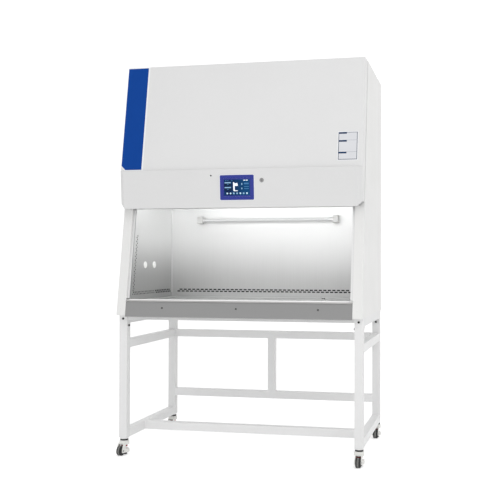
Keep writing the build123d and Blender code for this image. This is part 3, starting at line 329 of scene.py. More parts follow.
def opal(name, colour, strength):
    """Diffusing tube or cover that glows softly."""
    paint = Paint(name, colour, 0.35)
    paint.glow(colour, strength)
    paint.tint(paint.noise(30, 3), shade(colour, 0.97))
    paint.bump(paint.noise(600, 2), 0.00003, 0.3)
    return paint.mat


def lcd_glass(name, left, right):
    """Lit display face: dark at the left, bluer to the right, with its pixel rows."""
    paint = Paint(name, left, 0.2, spec=0.1)
    across = paint.axis(0).ramp(-0.06, 0.075)
    paint.tint(across, right)
    paint.tint(abs((paint.axis(2) * 900).frac() - 0.5) < 0.12, shade(left, 0.5), 0.25)
    paint.tint(paint.noise(40, 3).ramp(0.4, 0.7), shade(right, 1.25), 0.35)
    paint.roughen(paint.noise(30, 3), 0.10, 0.20)
    return paint.mat


MATS = {
    "body_paint": powder("body_paint", (0.825, 0.825, 0.815)),
    "cover_paint": powder("cover_paint", (0.785, 0.785, 0.785), 0.40),
    # The band is the cover's paint in a darker copy: painted shade of its down-facing face.
    "band_paint": powder("band_paint", (0.75, 0.75, 0.75), 0.38),
    "stand_paint": powder("stand_paint", (0.82, 0.82, 0.82), 0.45),
    # The rails are the stand's paint in a lighter copy: painted light on their shaded side.
    "rail_paint_with_painted_light": powder("rail_paint_with_painted_light", (0.875, 0.875, 0.875), 0.45),
    "stainless": brushed("stainless", (0.66, 0.665, 0.66), 0.34, 0),
    # One stainless on all chamber walls: the side walls' darker copy is painted shade, and both brighten upwards
    # with painted light.
    "liner_back": liner_steel("liner_back", (0.60, 0.602, 0.60), 2, 0.46, 1.36),
    "liner_side_shaded": liner_steel("liner_side_shaded", (0.55, 0.552, 0.55), 2, 0.5, 1.64),
    "galvanised": galvanised("galvanised", (0.62, 0.64, 0.65)),
    "apron_grey": powder("apron_grey", (0.292, 0.292, 0.292), 0.34, 0.00003),
    "lip_grey": lip_with_painted_highlight("lip_grey", (0.40, 0.395, 0.39)),
    "sash_glass": clear_glass("sash_glass", (0.90, 0.97, 0.95)),
    "sash_aluminium": brushed("sash_aluminium", (0.78, 0.78, 0.78), 0.32, 0, 0.00002),
    "guide_aluminium": brushed("guide_aluminium", (0.74, 0.74, 0.74), 0.42, 2, 0.00002),
    "filter_media": filter_paper("filter_media", (0.90, 0.89, 0.84)),
    "motor_dark": powder("motor_dark", (0.05, 0.055, 0.06), 0.45, 0.00006),
    "impeller_metal": brushed("impeller_metal", (0.66, 0.67, 0.68), 0.35, 0),
    "lamp_white": opal("lamp_white", (0.95, 0.96, 0.97), 1.2),
    "uv_glass": opal("uv_glass", (0.80, 0.805, 0.81), 0.0),
    "holder_white": moulded("holder_white", (0.72, 0.72, 0.71), 0.35),
    # The plug blanks glow faintly, though they are no lamp: painted light.
    "plug_white": opal("plug_white", (0.95, 0.95, 0.94), 0.08),
    "socket_grey": moulded("socket_grey", (0.55, 0.57, 0.58), 0.4),
    "inlet_black": moulded("inlet_black", (0.03, 0.03, 0.03), 0.4),
    "valve_brass": cast("valve_brass", (0.70, 0.56, 0.30), 0.3),
    "lever_red": moulded("lever_red", (0.50, 0.03, 0.03), 0.35, 0.00003, 0.2),
    "hinge_steel": cast("hinge_steel", (0.60, 0.61, 0.62), 0.35),
    "bezel_blue": moulded("bezel_blue", (0.044, 0.058, 0.315), 0.45, 0.00002, spec=0.12),
    "screen_blue": lcd_glass("screen_blue", (0.002, 0.017, 0.080), (0.004, 0.070, 0.20)),
    "lock_chrome": cast("lock_chrome", (0.30, 0.30, 0.30), 0.35),
    "bolt_black": cast("bolt_black", (0.03, 0.03, 0.03), 0.4, 0.6),
    "caster_white": moulded("caster_white", (0.86, 0.86, 0.83), 0.35, 0.00005),
    "wheel_black": rubber("wheel_black", (0.022, 0.022, 0.022), 0.5),
    "dial_red": moulded("dial_red", (0.30, 0.012, 0.016), 0.35),
    "foot_black": rubber("foot_black", (0.03, 0.03, 0.03)),
    "ring_dark": cast("ring_dark", (0.008, 0.008, 0.008), 0.55, 0.0),
}
OWN_LOOK = {
    "inner_back_wall": "liner_back",
    "inner_left_wall": "liner_side_shaded",
    "inner_right_wall": "liner_side_shaded",
    "sash_guides": "guide_aluminium",
    "stand_rails": "rail_paint_with_painted_light",
}
for row in frame["record"]["subparts"]:
    node, slot = row["node"], row["material_slot"]
    look = MATS[OWN_LOOK.get(node, slot)]
    mesh = NODES[node].data
    mesh.materials.clear()
    mesh.materials.append(look)


# ---------------------------------------------------------------- mesh helpers
def flat_normals(mesh, limit=40):
    for face in mesh.polygons:
        face.use_smooth = True
    mesh.set_sharp_from_angle(angle=math.radians(limit))


def piece(name, bm, slot, body, mat=None, smooth=35):
    """A finished object from a bmesh in the row frame, riding on a body."""
    mesh = bpy.data.meshes.new(name)
    bmesh.ops.recalc_face_normals(bm, faces=bm.faces)
    bm.to_mesh(mesh)
    bm.free()
    obj = bpy.data.objects.new(name, mesh)
    bpy.context.scene.collection.objects.link(obj)
    mesh.materials.append(mat or MATS[slot])
    flat_normals(mesh, smooth)
    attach(obj, body)
    return obj


def lathe(bm, profile, matrix, steps=32):
    """Turns a (radius, height) profile about local z, then places it. Ends on the axis close it."""
    rings = []
    for radius, height in profile:
        if radius < 1e-6:
            rings.append([bm.verts.new(matrix @ Vector((0, 0, height)))])
            continue
        ring = []
        for i in range(steps):
            a = 2 * math.pi * i / steps
            ring.append(bm.verts.new(matrix @ Vector((radius * math.cos(a), radius * math.sin(a), height))))
        rings.append(ring)
    for low, high in zip(rings, rings[1:]):
        for i in range(steps):
            j = (i + 1) % steps
            corners = [low[i % len(low)], low[j % len(low)], high[j % len(high)], high[i % len(high)]]
            unique = list(dict.fromkeys(corners))
            if len(unique) > 2:
                bm.faces.new(unique)
    return bm


def prism(bm, outline, low, high, matrix):
    """An (x, y) outline carried from low to high along local z, then placed."""
    bottom = [bm.verts.new(matrix @ Vector((x, y, low))) for x, y in outline]
    top = [bm.verts.new(matrix @ Vector((x, y, high))) for x, y in outline]
    bm.faces.new(bottom)
    bm.faces.new(top)
    for i in range(len(outline)):
        j = (i + 1) % len(outline)
        bm.faces.new((bottom[i], bottom[j], top[j], top[i]))
    return bm


def round_rect(width, height, radius, steps=5, centre=(0, 0)):
    points = []
    for cx, cy, start in ((1, 1, 0), (-1, 1, 90), (-1, -1, 180), (1, -1, 270)):
        for i in range(steps + 1):
            a = math.radians(start + 90 * i / steps)
            points.append(
                (
                    centre[0] + cx * (width / 2 - radius) + radius * math.cos(a),
                    centre[1] + cy * (height / 2 - radius) + radius * math.sin(a),
                )
            )
    return points


def disc(radius, steps=24, centre=(0, 0)):
    angles = [2 * math.pi * i / steps for i in range(steps)]
    return [(centre[0] + radius * math.cos(a), centre[1] + radius * math.sin(a)) for a in angles]


def facing(origin, normal, up=(0, 0, 1)):
    """Frame at origin with local z along normal and local y as near up as it can be."""
    z = Vector(normal).normalized()
    x = Vector(up).cross(z).normalized()
    y = z.cross(x)
    m = Matrix((x, y, z)).transposed().to_4x4()
    m.translation = Vector(origin)
    return m


# ---------------------------------------------------------------- places on the front
def front_at(z):
    return -REAR + (z - BODY_BOTTOM) * math.tan(SLOPE)


def on_cover(x, z):
    """Frame on the leaning cover face: local x right, y up the slope, z out."""
    return facing((x, front_at(z) - STANDOFF, z), (0, -math.cos(SLOPE), math.sin(SLOPE)))


def on_band(x, drop, out=0.0):
    """Frame on the control band's face."""
    c, s = math.cos(LEAN), math.sin(LEAN)
    y, z = -NOSE - out, -drop
    seam_y = front_at(SEAM_Z) - STANDOFF
    point = (x, seam_y + y * c - z * s, SEAM_Z + y * s + z * c)
    return facing(point, (0, -c, -s))


def on_apron(x, up, out=0.0):
    """Frame on the leaning body front plane, up along it from the bottom."""
    normal = Vector((0, -math.cos(SLOPE), math.sin(SLOPE)))
    base = Vector((x, -REAR, BODY_BOTTOM)) + Vector((0, math.sin(SLOPE), math.cos(SLOPE))) * up
    return facing(base + normal * out, normal)


# ---------------------------------------------------------------- stripe and plate on the cover
def sheet_piece(name, outline, matrix, low, high, slot, body, mat):
    bm = bmesh.new()
    prism(bm, outline, low, high, matrix)
    return piece(name, bm, slot, body, mat, 20)


STRIPE_BLUE = moulded("stripe_blue", (0.004, 0.060, 0.325), 0.5, 0.00001, spec=0.08)
STRIPE_WHITE = moulded("stripe_white", (0.93, 0.94, 0.96), 0.35, 0.00001)
PLATE_BLUE = moulded("plate_blue", (0.006, 0.034, 0.105), 0.5, 0.00001, spec=0.15)
PLATE_FRAME = moulded("plate_frame", (0.045, 0.062, 0.110), 0.5, 0.00001, spec=0.15)
PLATE_RULE = moulded("plate_rule", (0.42, 0.44, 0.48), 0.5, 0.00001, spec=0.15)
PLATE_PALE = moulded("plate_pale", (0.76, 0.77, 0.80), 0.5, 0.00001, spec=0.2)


def stripe(side_edge, end_edge):
    """Tall stripe at the cover's left edge with its bottom outer corner cut."""
    left, right = STRIPE_X[0] + side_edge / 3, STRIPE_X[1] - side_edge
    low, high = end_edge, (STRIPE_Z[1] - STRIPE_Z[0]) / math.cos(SLOPE) - end_edge
    return [(left + STRIPE_CUT, low), (right, low), (right, high), (left, high), (left, low + STRIPE_CUT)]


def on_plate(name, x, z, rise, mat):
    """One printed field of the data plate, between two values across and up from its middle."""
    outline = round_rect(x[1] - x[0], z[1] - z[0], 0.0008, centre=(sum(x) / 2, sum(z) / 2))
    return sheet_piece(name, outline, on_cover(*PLATE_AT), 0, rise, "cover_paint", "cover", mat)


def cover_marks():
    """Bare stripe and bare data plate: coloured fields with no words."""
    under, plate, field, rule, tab_rise = PRINT_RISE
    frame_at = on_cover(0, STRIPE_Z[0])
    outline = stripe(0.0, 0.0)
    sheet_piece("side_stripe_edge", outline, frame_at, 0.0, under, "cover_paint", "cover", STRIPE_WHITE)
    outline = stripe(0.009, 0.005)
    sheet_piece("side_stripe", outline, frame_at, 0.0, 2 * under, "cover_paint", "cover", STRIPE_BLUE)
    wide, tall = PLATE_HALF
    margin, border, tab, line = 0.004, 0.003, 0.009, 0.0016
    edge_x, edge_z = wide + margin, tall + margin
    inner_x, inner_z = wide - border, tall - border
    on_plate("data_plate_edge", (-edge_x, edge_x), (-edge_z, edge_z), under, STRIPE_WHITE)
    on_plate("data_plate", (-wide, wide), (-tall, tall), plate, PLATE_FRAME)
    on_plate("data_plate_field", (-inner_x, inner_x), (-inner_z, inner_z), field, PLATE_PALE)
    for i, top in enumerate((tall, 0.0310, -0.0325)):
        on_plate(f"data_plate_rule_{i}", (-inner_x, inner_x), (top - line, top), rule, PLATE_RULE)
        on_plate(f"data_plate_tab_{i}", (0.0008 - wide, -0.006), (top - tab, top), tab_rise, PLATE_BLUE)


cover_marks()


# ---------------------------------------------------------------- display face
def lit(name, colour, strength):
    """Lit symbol on the display: even colour with a fine pixel grid."""
    paint = Paint(name, colour, 0.3, spec=0.1)
    paint.glow(colour, strength)
    paint.tint(paint.noise(300, 2), shade(colour, 0.9))
    return paint.mat


ICON = {
    "white": lit("icon_white", (0.88, 0.93, 1.0), 0.25),
    "bright": lit("icon_bright", (0.62, 0.84, 1.0), 0.12),
    "pale": lit("icon_pale", (0.30, 0.52, 0.74), 0.12),
    "blue": lit("icon_blue", (0.06, 0.20, 0.42), 0.10),
    "deep": lit("icon_deep", (0.004, 0.020, 0.060), 0.05),
}


def on_screen(name, outline, mat, layer=1):
    """A flat symbol on the display glass; layer 1 lies on the glass and 2 on layer 1."""
    place = on_band(0, DISPLAY_DROP, BEZEL_PROUD - SCREEN_INSET)
    return sheet_piece(name, outline, place, -0.0002, SYMBOL_RISE * layer, "screen_blue", "cover", mat)


def bar(width, height, x, y):
    return round_rect(width, height, min(width, height) * 0.3, centre=(x, y))


def display_face():
    """Printed border of the glass and the symbols of a running cabinet."""
    seal = round_rect(0.1915, 0.1375, 0.008)
    place = on_band(0, DISPLAY_DROP)
    sheet_piece("display_seal", seal, place, 0, 0.0004, "bezel_blue", "cover", STRIPE_WHITE)
    (glass_x, glass_z), (view_x, view_z) = (0.1496, 0.0956), (0.141, 0.084)
    along, beside = (glass_x, (glass_z - view_z) / 2), ((glass_x - view_x) / 2, view_z)
    out_x, out_z = (glass_x + view_x) / 4, (glass_z + view_z) / 4
    borders = (("top", along, (0, out_z)), ("bottom", along, (0, -out_z)))
    borders += (("left", beside, (-out_x, 0)), ("right", beside, (out_x, 0)))
    for name, size, at in borders:
        on_screen(f"screen_border_{name}", round_rect(*size, 0.0005, centre=at), MATS["bezel_blue"])
    for i in range(7):
        tone = "pale" if i in (2, 3, 5) else "bright"
        button = disc(0.0047, 24, (-0.053 + 0.018 * i, -0.031))
        on_screen(f"screen_button_{i}", button, ICON[tone], 2)
    for i, y in enumerate((0.0255, 0.0)):
        on_screen(f"screen_reading_{i}", bar(0.035, 0.0055, -0.0495, y), ICON["pale"], 2)
        on_screen(f"screen_reading_box_{i}", bar(0.037, 0.0125, -0.0495, y - 0.0105), ICON["deep"])
        on_screen(f"screen_reading_mark_{i}", bar(0.009, 0.003, -0.0495, y - 0.0095), ICON["blue"], 2)
        gauge = bar(0.0055, 0.010 - 0.002 * i, 0.0275, 0.0175 - 0.023 * i)
        on_screen(f"screen_gauge_{i}", gauge, ICON["pale"], 2)
    for i, x in enumerate((0.0415, 0.0555)):
        on_screen(f"screen_status_{i}", bar(0.011, 0.0042, x, 0.0375), ICON["white"], 2)
    for i, x in enumerate((-0.060, -0.049, -0.027)):
        on_screen(f"screen_status_left_{i}", bar(0.007, 0.0028, x, 0.0375), ICON["blue"], 2)
    on_screen("screen_panel_right", bar(0.026, 0.008, 0.0525, 0.020), ICON["blue"], 2)
    for i, y in enumerate((0.004, -0.007)):
        on_screen(f"screen_row_right_{i}", bar(0.026, 0.0035, 0.0525, y), ICON["blue"], 2)
    # Side view of a cabinet: leaning head, back wall and base
    head = [(-0.0205, 0.028), (-0.0145, 0.028), (-0.0115, 0.0215), (0.0035, 0.0235), (0.006, 0.0085)]
    head.append((-0.0115, 0.0075))
    base = [(-0.0115, -0.0145), (0.0055, -0.0160), (0.0055, -0.0195), (-0.0170, -0.0195)]
    base.append((-0.0195, -0.0160))
    on_screen("screen_pictogram", head + base, ICON["white"], 2)


display_face()


# ---------------------------------------------------------------- repeats
def repeat_tree(name):
    """Copies of one object on points, turned as each point's "turn" says, made real and finished."""
    tree = bpy.data.node_groups.new(name + "_repeat", "GeometryNodeTree")
    for label, way, kind in (
        ("Geometry", "INPUT", "NodeSocketGeometry"),
        ("Source", "INPUT", "NodeSocketObject"),
        ("Size", "INPUT", "NodeSocketFloat"),
        ("Finish", "INPUT", "NodeSocketMaterial"),
        ("Geometry", "OUTPUT", "NodeSocketGeometry"),
    ):
        tree.interface.new_socket(label, in_out=way, socket_type=kind)
    entry = tree.nodes.new("NodeGroupInput")

    def given(label):
        return S(tree, entry.outputs[label])

    source = make(tree, "GeometryNodeObjectInfo", None, {"Object": given("Source")}, "Geometry")
    kind = {"data_type": "FLOAT_VECTOR"}
    turn = make(tree, "GeometryNodeInputNamedAttribute", kind, {"Name": "turn"}, "Attribute")
    rotation = make(tree, "FunctionNodeEulerToRotation", None, {"Euler": turn})
    sockets = {"Points": given("Geometry"), "Instance": source, "Rotation": rotation, "Scale": given("Size")}
    copies = make(tree, "GeometryNodeInstanceOnPoints", None, sockets)
    real = make(tree, "GeometryNodeRealizeInstances", None, {"Geometry": copies})
    sockets = {"Geometry": real, "Material": given("Finish")}
    finished = make(tree, "GeometryNodeSetMaterial", None, sockets)
    tree.links.new(finished.socket, tree.nodes.new("NodeGroupOutput").inputs[0])
    return tree


def repeat(name, source, frames, body, mat, size=1.0):
    """One small shape repeated at frames with Geometry Nodes, then kept as a plain mesh."""
    bmesh.ops.recalc_face_normals(source, faces=source.faces)
    shape_mesh = bpy.data.meshes.new(name + "_shape")
    source.to_mesh(shape_mesh)
    source.free()
    shape = bpy.data.objects.new(name + "_shape", shape_mesh)
    points = bpy.data.meshes.new(name)
    points.from_pydata([m.translation for m in frames], [], [])
    turn = points.attributes.new("turn", "FLOAT_VECTOR", "POINT")
    for i, m in enumerate(frames):
        turn.data[i].vector = m.to_euler()
    obj = bpy.data.objects.new(name, points)
    for made in (shape, obj):
        bpy.context.scene.collection.objects.link(made)
    modifier = obj.modifiers.new("repeat", "NODES")
    modifier.node_group = repeat_tree(name)
    given = {"Source": shape, "Size": size, "Finish": mat}
    for item in modifier.node_group.interface.items_tree:
        if item.in_out == "INPUT" and item.name in given:
            modifier[item.identifier] = given[item.name]
    bpy.context.view_layer.update()
    plain = bpy.data.meshes.new_from_object(obj.evaluated_get(bpy.context.evaluated_depsgraph_get()))
    obj.modifiers.clear()
    obj.data = plain
    plain.name = name
    plain.materials.clear()
    plain.materials.append(mat)
    bpy.data.objects.remove(shape)
    flat_normals(plain, 30)
    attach(obj, body)
    return obj


def cross_screw(radius, height):
    """Pan-head screw with a raised cross for its recess, standing on its seat."""
    bm = bmesh.new()
    head = [(radius, 0), (radius, height * 0.35), (radius * 0.85, height * 0.75)]
    lathe(bm, head + [(radius * 0.5, height), (0, height)], Matrix.Identity(4), 20)
    arm, thin = radius * 0.55, radius * 0.13
    for turn in (0, 90):
        spin = Matrix.Rotation(math.radians(turn), 4, "Z")
        prism(bm, [(-arm, -thin), (arm, -thin), (arm, thin), (-arm, thin)], height * 0.9, height * 1.03, spin)
    return bm


def flat_disc(radius, height, steps=14):
    bm = bmesh.new()
    prism(bm, disc(radius, steps), 0, height, Matrix.Identity(4))
    return bm


STEEL = cast("screw_steel", (0.55, 0.56, 0.57), 0.28)
DARK_STEEL = cast("screw_dark", (0.10, 0.10, 0.10), 0.3)
SHADE = moulded("duct_shade", (0.012, 0.012, 0.012), 0.8)


def fasteners():
    """Screws of the apron, pillars, rear panel and exhaust guard."""
    paint = MATS["body_paint"]
    apron = [on_apron(x, 0.043, -0.0022) for x in (-0.412, 0.0, 0.44)]
    repeat("apron_screws", cross_screw(0.0050, 0.0022), apron, "cabinet", DARK_STEEL)
    pillars = [on_apron(x, up) for x in (-0.645, 0.645) for up in (0.040, 0.520)]
    repeat("pillar_screws", cross_screw(0.0045, 0.0014), pillars, "cabinet", paint)
    side, seat = 0.655, REAR - 0.00105
    rear = [(x, z) for x in (-side, -0.33, 0.0, 0.33, side) for z in (0.778, 2.122)]
    rear += [(x, z) for x in (-side, side) for z in (1.05, 1.32, 1.59, 1.86)]
    rear = [facing((x, seat, z), (0, 1, 0)) for x, z in rear]
    repeat("rear_screws", cross_screw(0.0048, 0.001), rear, "cabinet", STEEL)
    low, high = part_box("exhaust_guard")
    in_x, in_y, third = 0.008, 0.007, (high.x - low.x) / 3
    xs = (low.x + in_x, low.x + third, high.x - third, high.x - in_x)
    guard = [(x, y, high.z) for x in xs for y in (low.y + in_y, high.y - in_y)]
    guard = [facing(at, (0, 0, 1), (0, 1, 0)) for at in guard]
    repeat("guard_screws", cross_screw(0.0042, 0.0022), guard, "cabinet", STEEL)


fasteners()


# ---------------------------------------------------------------- chamber
def plate_between(name, x, y, z, slot, body, mat=None, edge=0.0008):
    """A plate with rounded edges between two values on each axis."""
    bm = bmesh.new()
    outline = [(x[0], y[0]), (x[1], y[0]), (x[1], y[1]), (x[0], y[1])]
    prism(bm, outline, z[0], z[1], Matrix.Identity(4))
    bmesh.ops.bevel(bm, geom=list(bm.edges), offset=edge, segments=2, profile=0.5, affect="EDGES")
    return piece(name, bm, slot, body, mat)


def corner_trims():
    """Folded trims in the two back corners of the chamber, in bright aluminium: a painted highlight of the
    corners.
    """
    width, face = 0.005, WALL_FACE
    for side, name in ((-1, "left"), (1, "right")):
        x = sorted((side * face, side * (face - width)))
        y, z = (BACK_WALL - width, BACK_WALL - 0.0001), (TRAY_TOP + 0.022, CEILING - 0.001)
        # Painted highlight: the trims take the brighter aluminium finish.
        plate_between(f"corner_trim_{name}", x, y, z, "stainless", "cabinet", MATS["sash_aluminium"])


def duct_shades():
    """The dark of the return duct behind each row of slots."""
    high_z = (SLOT_ROWS[0] - 0.007, SLOT_ROWS[1] + 0.007)
    back, half, edge = (BACK_WALL + 0.0021, BACK_WALL + 0.0026), 0.600, 0.0001
    ride = ("stainless", "cabinet", SHADE, edge)
    plate_between("rear_slot_shade", (-half, half), back, high_z, *ride)
    for side, name in ((-1, "left"), (1, "right")):
        x = sorted((side * (INNER + 0.0006), side * (INNER + 0.0011)))
        plate_between(f"{name}_slot_shade", x, (-0.030, BACK_WALL - 0.012), high_z, *ride)


def slot_shade_ring(length, height, width, rise):
    """Painted shade of one slot's edge: a dark flat ring with rounded ends."""
    bm = bmesh.new()
    inner = round_rect(length, height, height * 0.48, 4)
    outer = round_rect(length + 2 * width, height + 2 * width, height * 0.48 + width, 4)
    rings = [[bm.verts.new((x, y, z)) for x, y in ring] for z in (0.0, rise) for ring in (inner, outer)]
    for a, b in ((0, 1), (1, 3), (3, 2), (2, 0)):
        for i in range(len(inner)):
            j = (i + 1) % len(inner)
            bm.faces.new((rings[a][i], rings[a][j], rings[b][j], rings[b][i]))
    return bm


def slot_edges():
    """Painted shade: dark rings round the return slots in the back wall and the side walls."""
    pitch, margin, side_count, width, rise = 0.0275, 0.030, 9, 0.0014, 0.0002
    slot = (0.018, 0.005, width, rise)
    count = int((2 * (INNER - margin) - pitch / 2) // pitch)
    first = -pitch / 4 - pitch * (count - 1) / 2
    frames = []
    for row, z in enumerate(SLOT_ROWS):
        for i in range(count):
            frames.append(facing((first + pitch * (i + row / 2), BACK_WALL, z), (0, -1, 0)))
    # Painted shade round each slot.
    repeat("slot_edges_back", slot_shade_ring(*slot), frames, "cabinet", SHADE)
    for side, name in ((-1, "left"), (1, "right")):
        frames = []
        for row, z in enumerate(SLOT_ROWS):
            for i in range(side_count):
                y = BACK_WALL - margin - pitch * (i + row / 2)
                frames.append(facing((side * WALL_FACE, y, z), (-side, 0, 0)))
        repeat(f"slot_edges_{name}", slot_shade_ring(*slot), frames, "cabinet", SHADE)


def intake_hole_shades():
    """Painted shade of small intake holes: dark discs in two staggered columns up each side wall's front, and two
    rows to the slots.
    """
    behind_edge, gap, pitch, row_pitch = WALL_SETBACK + 0.050, 0.009, 0.021, 0.020
    columns, row_count, row_start, radius = 16, 15, -0.022, 0.0042
    for side, name in ((-1, "left"), (1, "right")):
        places = []
        for i in range(columns):
            for shift, setback in ((0, 0), (pitch / 2, gap)):
                z = SLOT_ROWS[0] + pitch * i + shift
                places.append((front_at(z) + behind_edge + setback, z))
        for i in range(row_count):
            for row, z in enumerate(SLOT_ROWS):
                places.append((row_start - row_pitch * (i + row / 2), z))
        frames = [facing((side * WALL_FACE, y, z), (-side, 0, 0)) for y, z in places]
        # Painted shade: flat dark discs standing for the holes.
        hole_shades = flat_disc(radius, 0.00025)
        repeat(f"intake_holes_{name}", hole_shades, frames, "cabinet", SHADE)


def knob_ring():
    """Dark grip ring round the tray's lift knob."""
    seat, ring = 0.8575, bmesh.new()
    profile = [(0.0079, 0), (0.0086, 0.0005), (0.0088, 0.0030), (0.0086, 0.0047), (0.0079, 0.0051)]
    lathe(ring, profile, Matrix.Translation((*KNOB, seat)), 28)
    piece("tray_knob_ring", ring, "stainless", "tray", MATS["inlet_black"])


def tube_details():
    """Germicidal tube: bore glass with a crimped metal cap at each end."""
    low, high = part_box("uv_lamp_tube")
    centre, reach = (low + high) / 2, (high.x - low.x) / 2
    spin = Matrix.Translation((0, centre.y, centre.z)) @ Matrix.Rotation(math.radians(90), 4, "Y")
    bore, cap, cap_length, inset = 0.0085, 0.0098, 0.0215, 0.016
    end = reach - inset
    glass = bmesh.new()
    lathe(glass, [(0, -end), (bore, -end), (bore, end), (0, end)], spin, 40)
    tube = piece("uv_tube_glass", glass, "uv_glass", "cabinet", MATS["uv_glass"])
    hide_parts("uv_lamp_tube")
    caps = bmesh.new()
    crimp = [(0, 0), (cap - 0.001, 0), (cap, 0.001), (cap, 0.008), (cap - 0.0006, 0.0095)]
    crimp += [(cap, 0.011), (cap, 0.020), (cap - 0.0009, cap_length), (0, cap_length)]
    for flip in (0, math.pi):
        turned = spin @ Matrix.Rotation(flip, 4, "Y")
        lathe(caps, [(r, reach - depth) for r, depth in crimp], turned, 40)
    ends = piece("uv_tube_caps", caps, "uv_glass", "cabinet", MATS["sash_aluminium"])
    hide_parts("uv_lamp_tube")


corner_trims()
duct_shades()
slot_edges()
intake_hole_shades()
knob_ring()
tube_details()


# ---------------------------------------------------------------- front fittings
def front_fittings():
    """Receiver lens with its bright seat, and the ring round the lock."""
    seat = bmesh.new()
    profile = [(0.0058, -0.0008), (0.0058, 0.0003), (0.0049, 0.0003), (0.0046, -0.0008)]
    lathe(seat, profile, on_band(*RECEIVER), 28)
    piece("receiver_seat", seat, "inlet_black", "cover", STRIPE_WHITE)
    lens = bmesh.new()
    profile = [(0, -0.0012), (0.0045, -0.0012), (0.0045, 0.0004), (0.0036, 0.0010), (0, 0.0012)]
    lathe(lens, profile, on_band(*RECEIVER), 28)
    piece("receiver_lens", lens, "inlet_black", "cover", MATS["inlet_black"])
    ring = bmesh.new()
    collar = [(0.0094, 0.0019), (0.0094, 0.0026), (0.0100, 0.0029), (0.0112, 0.0026), (0.0118, 0.0019)]
    lathe(ring, collar, on_band(*LOCK), 40)
    piece("lock_ring", ring, "band_paint", "cover", MATS["lock_chrome"])


front_fittings()


# ---------------------------------------------------------------- wheels
# Paler grey of a painted highlight on the tyres' tread.
TREAD_HIGHLIGHT = rubber("tread_highlight_grey", (0.17, 0.17, 0.165), 0.55)


def both_ways(half_profile):
    """A profile given on one side of the wheel's middle, and its mirror image on the other."""
    return half_profile + [(r, -x) for r, x in reversed(half_profile)]


def wheel_details(place):
    """Black tyre with a paler band on the tread as a painted highlight, a dished hub and its axle caps."""
    roll = next(joint for joint in frame["joints"] if joint["name"] == f"wheel_roll_{place}")
    low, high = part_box(f"caster_wheel_{place}")
    centre = (low + high) / 2
    spin = facing(centre, roll["axis"])
    edge, rim = WHEEL_RADIUS - 0.0001, WHEEL_HALF - 0.0001
    shoulder = [(0.0057, rim - 0.002), (0.0098, rim), (0.0104, rim - 0.0022)]
    shoulder += [(0.0185, rim - 0.0030), (0.0200, rim), (edge - 0.0030, rim)]
    shoulder += [(edge - 0.0009, rim - 0.0014), (edge, rim - 0.0040)]
    shoulder += [(edge - 0.0002, 0.0058), (edge - 0.0011, 0.0052)]
    tyre = bmesh.new()
    lathe(tyre, both_ways(shoulder) + [shoulder[0]], spin, 56)
    wheel = piece(f"tyre_{place}", tyre, "wheel_black", f"wheel_{place}", smooth=50)
    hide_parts(f"caster_wheel_{place}")
    # Painted highlight: a paler grey band round the tread's crown.
    band = bmesh.new()
    crown = [(edge - 0.0013, 0.0049), (edge - 0.0003, 0.0046), (edge - 0.0001, 0.0020)]
    lathe(band, both_ways(crown), spin, 56)
    tread = piece(f"tread_{place}", band, "wheel_black", f"wheel_{place}", TREAD_HIGHLIGHT, 50)
    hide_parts(f"caster_wheel_{place}")
    caps = bmesh.new()
    for way in (-1, 1):
        axis = Vector(roll["axis"]) * way
        cap = [(0.0062, -0.0012), (0.0062, 0.0), (0.0052, 0.0009), (0, 0.0012)]
        lathe(caps, cap, facing(centre + axis * CHEEK_OUT, axis), 24)
    piece(f"axle_caps_{place}", caps, "lock_chrome", f"caster_{place}")


for place in ("front_left", "front_right", "rear_left", "rear_right"):
    wheel_details(place)


# ---------------------------------------------------------------- stage
def white_to_camera(tree, own, added):
    """own for plain light, own + added for what the camera, gloss and glass see."""
    rays = make(tree, "ShaderNodeLightPath", output="Is Camera Ray")
    node = rays.socket.node
    seen = rays.most(S(tree, node.outputs["Is Glossy Ray"]))
    seen = seen.most(S(tree, node.outputs["Is Transmission Ray"]))
    return seen * added + own


def stage():
    """Pale floor that sweeps up into a backdrop behind the cabinet."""
    half, bend_y, bend, top, steps = 14.0, 6.0, 2.0, 9.0, 16
    profile = [(-half, 0.0), (bend_y, 0.0)]
    for i in range(1, steps + 1):
        a = math.radians(90 * i / steps)
        profile.append((bend_y + bend * math.sin(a), bend - bend * math.cos(a)))
    profile.append((bend_y + bend, top))
    verts = [(x, y, z) for y, z in profile for x in (-half, half)]
    faces = [(2 * i, 2 * i + 1, 2 * i + 3, 2 * i + 2) for i in range(len(profile) - 1)]
    mesh = bpy.data.meshes.new("floor")
    mesh.from_pydata(verts, [], faces)
    for face in mesh.polygons:
        face.use_smooth = True
    floor = bpy.data.objects.new("floor", mesh)
    bpy.context.scene.collection.objects.link(floor)
    mat = bpy.data.materials.new("floor_white")
    mat.use_nodes = True
    tree = mat.node_tree
    tree.nodes.clear()
    matt = make(tree, "ShaderNodeBsdfDiffuse", None, {"Color": (0.93, 0.93, 0.93, 1)})
    sockets = {"Color": (1, 1, 1, 1), "Strength": white_to_camera(tree, 0.0, FLOOR_GLOW)}
    glow = make(tree, "ShaderNodeEmission", None, sockets)
    both = make(tree, "ShaderNodeAddShader", None, {0: matt, 1: glow})
    tree.links.new(both.socket, tree.nodes.new("ShaderNodeOutputMaterial").inputs["Surface"])
    mesh.materials.append(mat)


def studio():
    """White room: full white to the eye, a little less as light on the cabinet."""
    world = bpy.data.worlds.new("studio")
    bpy.context.scene.world = world
    world.use_nodes = True
    tree = world.node_tree
    back = tree.nodes["Background"]
    back.inputs["Color"].default_value = (1, 1, 1, 1)
    tree.links.new(white_to_camera(tree, ROOM_LIGHT, 1.0 - ROOM_LIGHT).socket, back.inputs["Strength"])


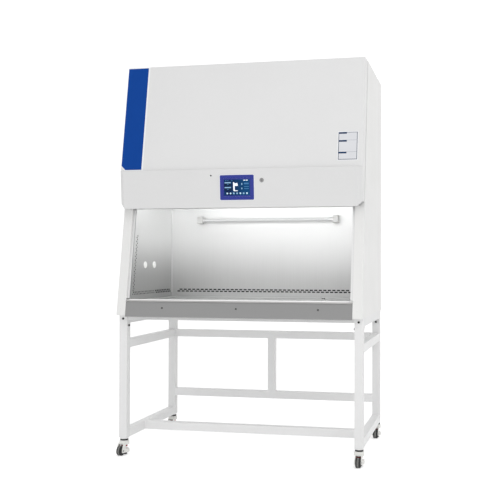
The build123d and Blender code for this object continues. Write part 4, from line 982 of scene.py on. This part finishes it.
def area(name, place, aim, size, power):
    light = bpy.data.lights.new(name, "AREA")
    light.shape = "RECTANGLE"
    light.size, light.size_y = size
    light.energy = power
    obj = bpy.data.objects.new(name, light)
    bpy.context.scene.collection.objects.link(obj)
    obj.location = place
    obj.rotation_euler = (Vector(aim) - Vector(place)).to_track_quat("-Z", "Y").to_euler()
    obj.visible_camera = False
    return obj


stage()
studio()
area("key", (2.6, -4.2, 4.2), (0, 0, 1.3), (3.0, 3.0), 42)
area("fill", (-3.6, -3.6, 2.2), (0, 0, 1.2), (3.0, 3.0), 3)
area("side", (5.0, 0.6, 2.4), (0.6, 0, 1.4), (2.5, 2.5), 6)
area("low", (0.3, -3.2, 0.35), (0, 0.35, 0.40), (2.4, 0.5), 6)
area("work_light", (0, -0.205, 1.452), (0, 0.20, 1.20), (1.10, 0.05), 0.7)
area("ceiling_light", (0, -0.09, 1.458), (0, -0.09, 1.0), (1.16, 0.22), 2.5)

# ---------------------------------------------------------------- camera
TURN = {"yaw": 11.8, "pitch": 0.9, "roll": 0.1}
CAM = {"at": (1.2451, -4.6499, 1.0469), "f": 834.1, "px": 53.1, "py": -0.1, **TURN}
FRAME = 500


def camera(c):
    """Camera at the viewing angle; f and the shifts are in pixels of the square frame."""
    yaw, pitch, roll = (math.radians(c[k]) for k in ("yaw", "pitch", "roll"))
    flat = Vector((-math.sin(yaw), math.cos(yaw), 0))
    right = Vector((math.cos(yaw), math.sin(yaw), 0))
    up = Vector((0, 0, 1))
    ahead = flat * math.cos(pitch) + up * math.sin(pitch)
    up = up * math.cos(pitch) - flat * math.sin(pitch)
    right, up = right * math.cos(roll) + up * math.sin(roll), up * math.cos(roll) - right * math.sin(roll)
    data = bpy.data.cameras.new("camera")
    data.lens = c["f"] / FRAME * data.sensor_width
    data.shift_x = -c["px"] / FRAME
    data.shift_y = c["py"] / FRAME
    data.clip_end = 100
    obj = bpy.data.objects.new("camera", data)
    bpy.context.scene.collection.objects.link(obj)
    m = Matrix((right, up, -ahead)).transposed().to_4x4()
    m.translation = Vector(c["at"])
    obj.matrix_world = m
    bpy.context.scene.camera = obj


camera(CAM)
bpy.context.scene.view_settings.view_transform = "Standard"
